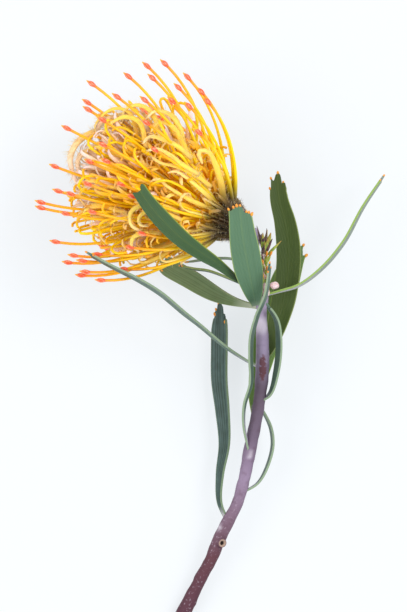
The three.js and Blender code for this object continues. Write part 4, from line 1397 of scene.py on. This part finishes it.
CROWN_SEEN = [
    (2.8, [
        (11.8, 58, 4), (9.6, 67, 5), (3, 72, 4), (-4, 72.2, 3), (-9.4, 68.6, 2), (-13.7, 63, 2),
        (-14.5, 57, 4),
    ]),
    (2.2, [(2, 54, 6), (3.4, 62, 5), (0, 68, 4), (-5, 68.6, 3), (-9.4, 64, 3), (-10.4, 57, 4)]),
    (2.2, [(16, 54, 8), (17.6, 62, 7), (14, 66.6, 6), (9, 66, 6), (7, 61, 6)]),
    (2.2, [(20, 46, 10), (23.6, 53, 10), (22, 59, 9), (18, 60.6, 9), (14, 57, 9)]),
]
SEEN_RINGS = 24
draw = generator(51)


def seen_lobes(measured, lean):
    """The lobes of a list, each turned a little about its own length."""
    lines = []
    for width, places in measured:
        x, y, z = places[0]
        down_to_cup = [Vector((x * 0.6, 1.5, z * 0.42))] if y < 14 else []
        line = curve_line(down_to_cup + [Vector(place) for place in places])
        ahead = line.ahead(0.1)
        side = turned(ahead.cross(UP).normalized(), lean * (draw() - 0.5), ahead)
        lines.append(lobe(line, width, side, draw(), SEEN_RINGS))
    return lines


seen_lines = seen_lobes(LOBES_SEEN, 80)
crown_lines = seen_lobes(CROWN_SEEN, 60)
add_piece("lobes_seen", into_world(mark_feet(tubes(seen_lines, sides=10))), cream_silk, "floret")
add_piece("crown_lobes", into_world(tubes(crown_lines, sides=10)), crown_silk, "floret")

# %% Make the inner lobes
INNER_LOBES, PACKED_RINGS, UPPER_FROM = 430, 14, 0.74
INNER_SPAN, INNER_LEAN = (7, 57), (66, 12)
INNER_LENGTH, INNER_WIDTH = (9, 18), (1.5, 2.5)
ROLL = (30, 120)


def at_right(outward, place):
    """How much a floret stands at the open right edge, where the styles stand clear of the rest."""
    return smooth(outward.x, 0.2, 0.7) * (1 - smooth(place, 0.6, 0.9))


draw = generator(31)
inner_lines, upper_lines = [], []
for k in range(INNER_LOBES):
    place = (k + 0.5) / INNER_LOBES
    along = mix(*INNER_SPAN, place**0.85)
    towards_top = math.sqrt(min(1, (1 - place) / 0.12))
    outward = outward_at(k * GOLDEN_ANGLE)
    ahead = leaning(outward, mix(*INNER_LEAN, place) + 16 * (draw() - 0.5))
    ahead = (ahead + outward.cross(UP) * 0.3 * (draw() - 0.5)).normalized()
    root = in_head(outward, (core_radius(along) - 1.5) * towards_top, along - 1)
    reach = mix(*INNER_LENGTH, draw()) * mix(0.6, 1, smooth(place, 0, 0.3))
    reach *= mix(1, 0.7, smooth(place, 0.7, 1)) * mix(1, 0.6, at_right(outward, place))
    side = ahead.cross(any_way(draw)).normalized()
    bow = side * (draw() - 0.4) * 3
    straight = [root, root + ahead * reach * 0.5 - bow, root + ahead * reach]
    turns = mix(*ROLL, draw())
    line = curled(straight, ahead, side, 2.8 + 3 * draw(), turns, ahead.cross(side) * (draw() - 0.5) * 4)
    packed = upper_lines if place > UPPER_FROM else inner_lines
    packed.append(lobe(line, mix(*INNER_WIDTH, draw()), ahead.cross(side), draw(), PACKED_RINGS))
add_piece("inner_lobes", into_world(mark_feet(tubes(inner_lines, sides=6))), perianth_silk, "floret")
add_piece("upper_lobes", into_world(tubes(upper_lines, sides=6)), crown_silk, "floret")

# %% Make the bowed styles between them
BOWED_STYLES, BOWED_RINGS, BOWED_RADIUS = 120, 18, 0.52
BOWED_SPAN, BOWED_LEAN, BOWED_LENGTH = (9, 50), (56, 14), (15, 26)
BOW = ((0, 0), (0.4, 1.4), (0.75, 1.2), (1, 0))
draw = generator(61)


def even_rod(places, radius, tone):
    """A style of the same thickness all along."""
    return {"points": [settle(place) for place in places], "radii": [radius] * len(places), "tone": tone}


bowed_lines = []
for k in range(BOWED_STYLES):
    place = (k + 0.5) / BOWED_STYLES
    along = mix(*BOWED_SPAN, place)
    outward = outward_at(k * GOLDEN_ANGLE + 0.4)
    root = in_head(outward, core_radius(along) - 1, along)
    ahead = leaning(outward, mix(*BOWED_LEAN, place) + 12 * (draw() - 0.5))
    side = ahead.cross(any_way(draw)).normalized()
    reach = mix(*BOWED_LENGTH, draw()) * mix(1, 0.75, smooth(place, 0.6, 1))
    reach *= mix(1, 0.5, at_right(outward, place))
    straight = [root + ahead * reach * step - side * away for step, away in BOW]
    line = curled(straight, ahead, side, 2.6 + 3 * draw(), mix(*ROLL, draw()), ahead.cross(side) * 2)
    bowed_lines.append(even_rod(line.spread(BOWED_RINGS), BOWED_RADIUS, draw()))


def style_skin(lines):
    """Styles that end inside the head: their V is shortened, so that none reaches the tips' colours."""
    bm = tubes(lines, sides=7)
    uv_layer = bm.loops.layers.uv.active
    for face in bm.faces:
        for corner in face.loops:
            corner[uv_layer].uv.y *= 0.6
    return into_world(mark_feet(bm))


add_piece("bowed_styles", style_skin(bowed_lines), style_gold, "floret")

# %% Make the unopened florets
LOOPED_FLORETS, CLUB_REACH = 24, (59, 37)
LOOP_RINGS, LOOP_RADIUS = 16, 0.58
CLUB_RADII = [1.2, 1.15, 1.1, 1.05, 1.0, 0.95, 0.9, 0.95, 1.15, 1.4, 1.25, 0.6]
draw = generator(41)
club_lines, bow_lines = [], []
for k in range(LOOPED_FLORETS):
    share = (k + 0.5) / LOOPED_FLORETS
    outward = outward_at(k * GOLDEN_ANGLE + 1)
    outward.z *= NEAR_SQUEEZE
    lean = leaning(outward, 6 + 46 * math.sqrt(share))
    reach = mix(*CLUB_REACH, share) + 4 * draw()
    root = HEAD_AXIS * 16 + lean * 12
    top = HEAD_AXIS * 6 + lean * reach
    side = turned(lean.cross(HEAD_AXIS).normalized(), 360 * draw(), lean.normalized())
    stalk = curve_line(
        [root, mix(root, top, 0.5) + side, mix(root, top, 0.85) - side * 0.6, top - side * 1.6]
    )
    points = [settle(place) for place in stalk.spread(len(CLUB_RADII))]
    club_lines.append({"points": points, "radii": CLUB_RADII, "tone": draw()})
    loop = 3 + 1.6 * draw()
    bow = [stalk.at(0.4), stalk.at(0.6) + side * loop * 0.9, stalk.at(0.82) + side * loop * 1.8]
    bow += [top + lean * loop * 1.1 + side * loop * 1.4, top + lean * loop * 1.1 + side * 0.2, stalk.at(0.98)]
    bow_lines.append(even_rod(curve_line(bow).spread(LOOP_RINGS), LOOP_RADIUS, draw()))
add_piece("unopened_perianths", into_world(tubes(club_lines, sides=10)), crown_silk, "floret")
add_piece("looped_styles", style_skin(bow_lines), style_gold, "floret")

# %% [markdown]
# ## The involucre
#
# Under the head a shallow cup carries rows of pointed, dark, hairy bracts. The cup is spun from its
# profile, and the bracts are small flattened blades set in a spiral, each lying on the one before. The
# space for the stem is already left by the cup's foot, where the peduncle ends.

# %% Make the cup and its bracts
CUP = [(0, -5), (2.8, -5), (4.8, -3.2), (6, -0.3), (0, -0.3)]
add_piece("involucre_cup", into_world(spun(CUP, steps=40)), bract_brown, "bract", "involucre")

BRACTS, BRACT_HALF = 72, 1.4
draw = generator(11)
bract_lines = []
for k in range(BRACTS):
    outward = outward_at(k * GOLDEN_ANGLE)
    tier = k / (BRACTS - 1)
    foot = in_head(outward, mix(3.2, 5.8, tier), mix(-4.6, -0.8, tier))
    middle = foot + in_head(outward, 1.3 + 0.5 * draw(), 2.4 + draw())
    point = middle + in_head(outward, 0.9 + 1.2 * draw(), 1.6 + 2 * draw())
    line = curve_line([foot, middle, point])
    bract_lines.append(blade_tube(line, BRACT_HALF, outward.cross(HEAD_AXIS), 0.3, 0.25, draw()))
add_piece("involucre_bracts", into_world(tubes(bract_lines, sides=8)), bract_brown, "bract")

# %% [markdown]
# ## Silky hairs
#
# Fine pale hairs cover the lobes' backs, the unopened florets, the bracts and the shoot's tip, and give the
# head its soft look. Short dark ones stand on the bracts and on the feet of styles and lobes. Each hair is a
# thin three-sided tube of three rings that tapers to nothing. They stand on points picked by chance along
# the tubes that carry them, leaning forward.

# %% Make the hairs
INNER_REACH = 30
draw = generator(5)


def hairs_on(carriers, each, length, thickness, first=0.0, last=0.98):
    """Hairs that grow from the surface of tubes that were described as lines."""
    hairs = []
    for carrier in carriers:
        frames = carried_frames(carrier["points"], carrier.get("side", UP))
        for _ in range(each):
            place = mix(first, last, draw()) * (len(frames) - 1)
            k = min(int(place), len(frames) - 2)
            point = mix(frames[k][0], frames[k + 1][0], place - k)
            ahead = (frames[k + 1][0] - frames[k][0]).normalized()
            turn = draw() * 2 * math.pi
            out = frames[k][1] * math.cos(turn) + frames[k][2] * math.sin(turn)
            flat = carrier.get("flat", 1)
            reach = carrier["radii"][k] * math.hypot(math.cos(turn), math.sin(turn) * flat) * 0.8
            grow = (out + ahead * mix(0.2, 1.2, draw())).normalized()
            size = length * mix(0.5, 1.2, draw())
            root = point + out * reach
            bend = any_way(draw) * size * 0.5
            places = [root, root + grow * size * 0.55 + bend * 0.4, root + grow * size + bend]
            radii = [thickness, thickness * 0.7, thickness * 0.15]
            hairs.append({"points": [settle(p) for p in places], "radii": radii, "tone": draw()})
    return hairs


pale_hairs = hairs_on(sheath_lines, 18, 2.0, 0.07, last=0.6) + hairs_on(seen_lines, 110, 2, 0.06)
pale_hairs += hairs_on(inner_lines, 3, 1.5, 0.06) + hairs_on(club_lines, 40, 1.6, 0.06, first=0.4)
pale_hairs += hairs_on(crown_lines, 300, 2.8, 0.07) + hairs_on(bract_lines, 8, 1.6, 0.07)
axis_in_head = {"points": [INTO_HEAD @ place for place in axis_tube["points"]], "radii": axis_tube["radii"]}
pale_hairs += hairs_on([axis_in_head], 700, 1.1, 0.05)
inner_tubes = [tube for tube, tip in zip(style_tubes, tips) if abs(tip["across"]) < INNER_REACH]
dark_hairs = hairs_on(bract_lines, 12, 1.6, 0.08) + hairs_on(inner_tubes, 26, 2, 0.08, last=0.16)
dark_hairs += hairs_on(sheath_lines[-SKIRT_LOBES:], 16, 2.2, 0.08, last=0.45)
add_piece("dark_hairs", into_world(tubes(dark_hairs, sides=3)), bract_brown, "bract")
add_piece("silky_hairs", into_world(tubes(pale_hairs, sides=3)), hair_silk, "floret")

# %% [markdown]
# ## Sizes and the end
#
# The dressed flower is meant to stay the size of the imported model, so its box is printed at the end.

# %% Write the sizes and finish
low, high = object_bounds()
print("dressed flower:", tuple(round(c, 4) for c in low), tuple(round(c, 4) for c in high))
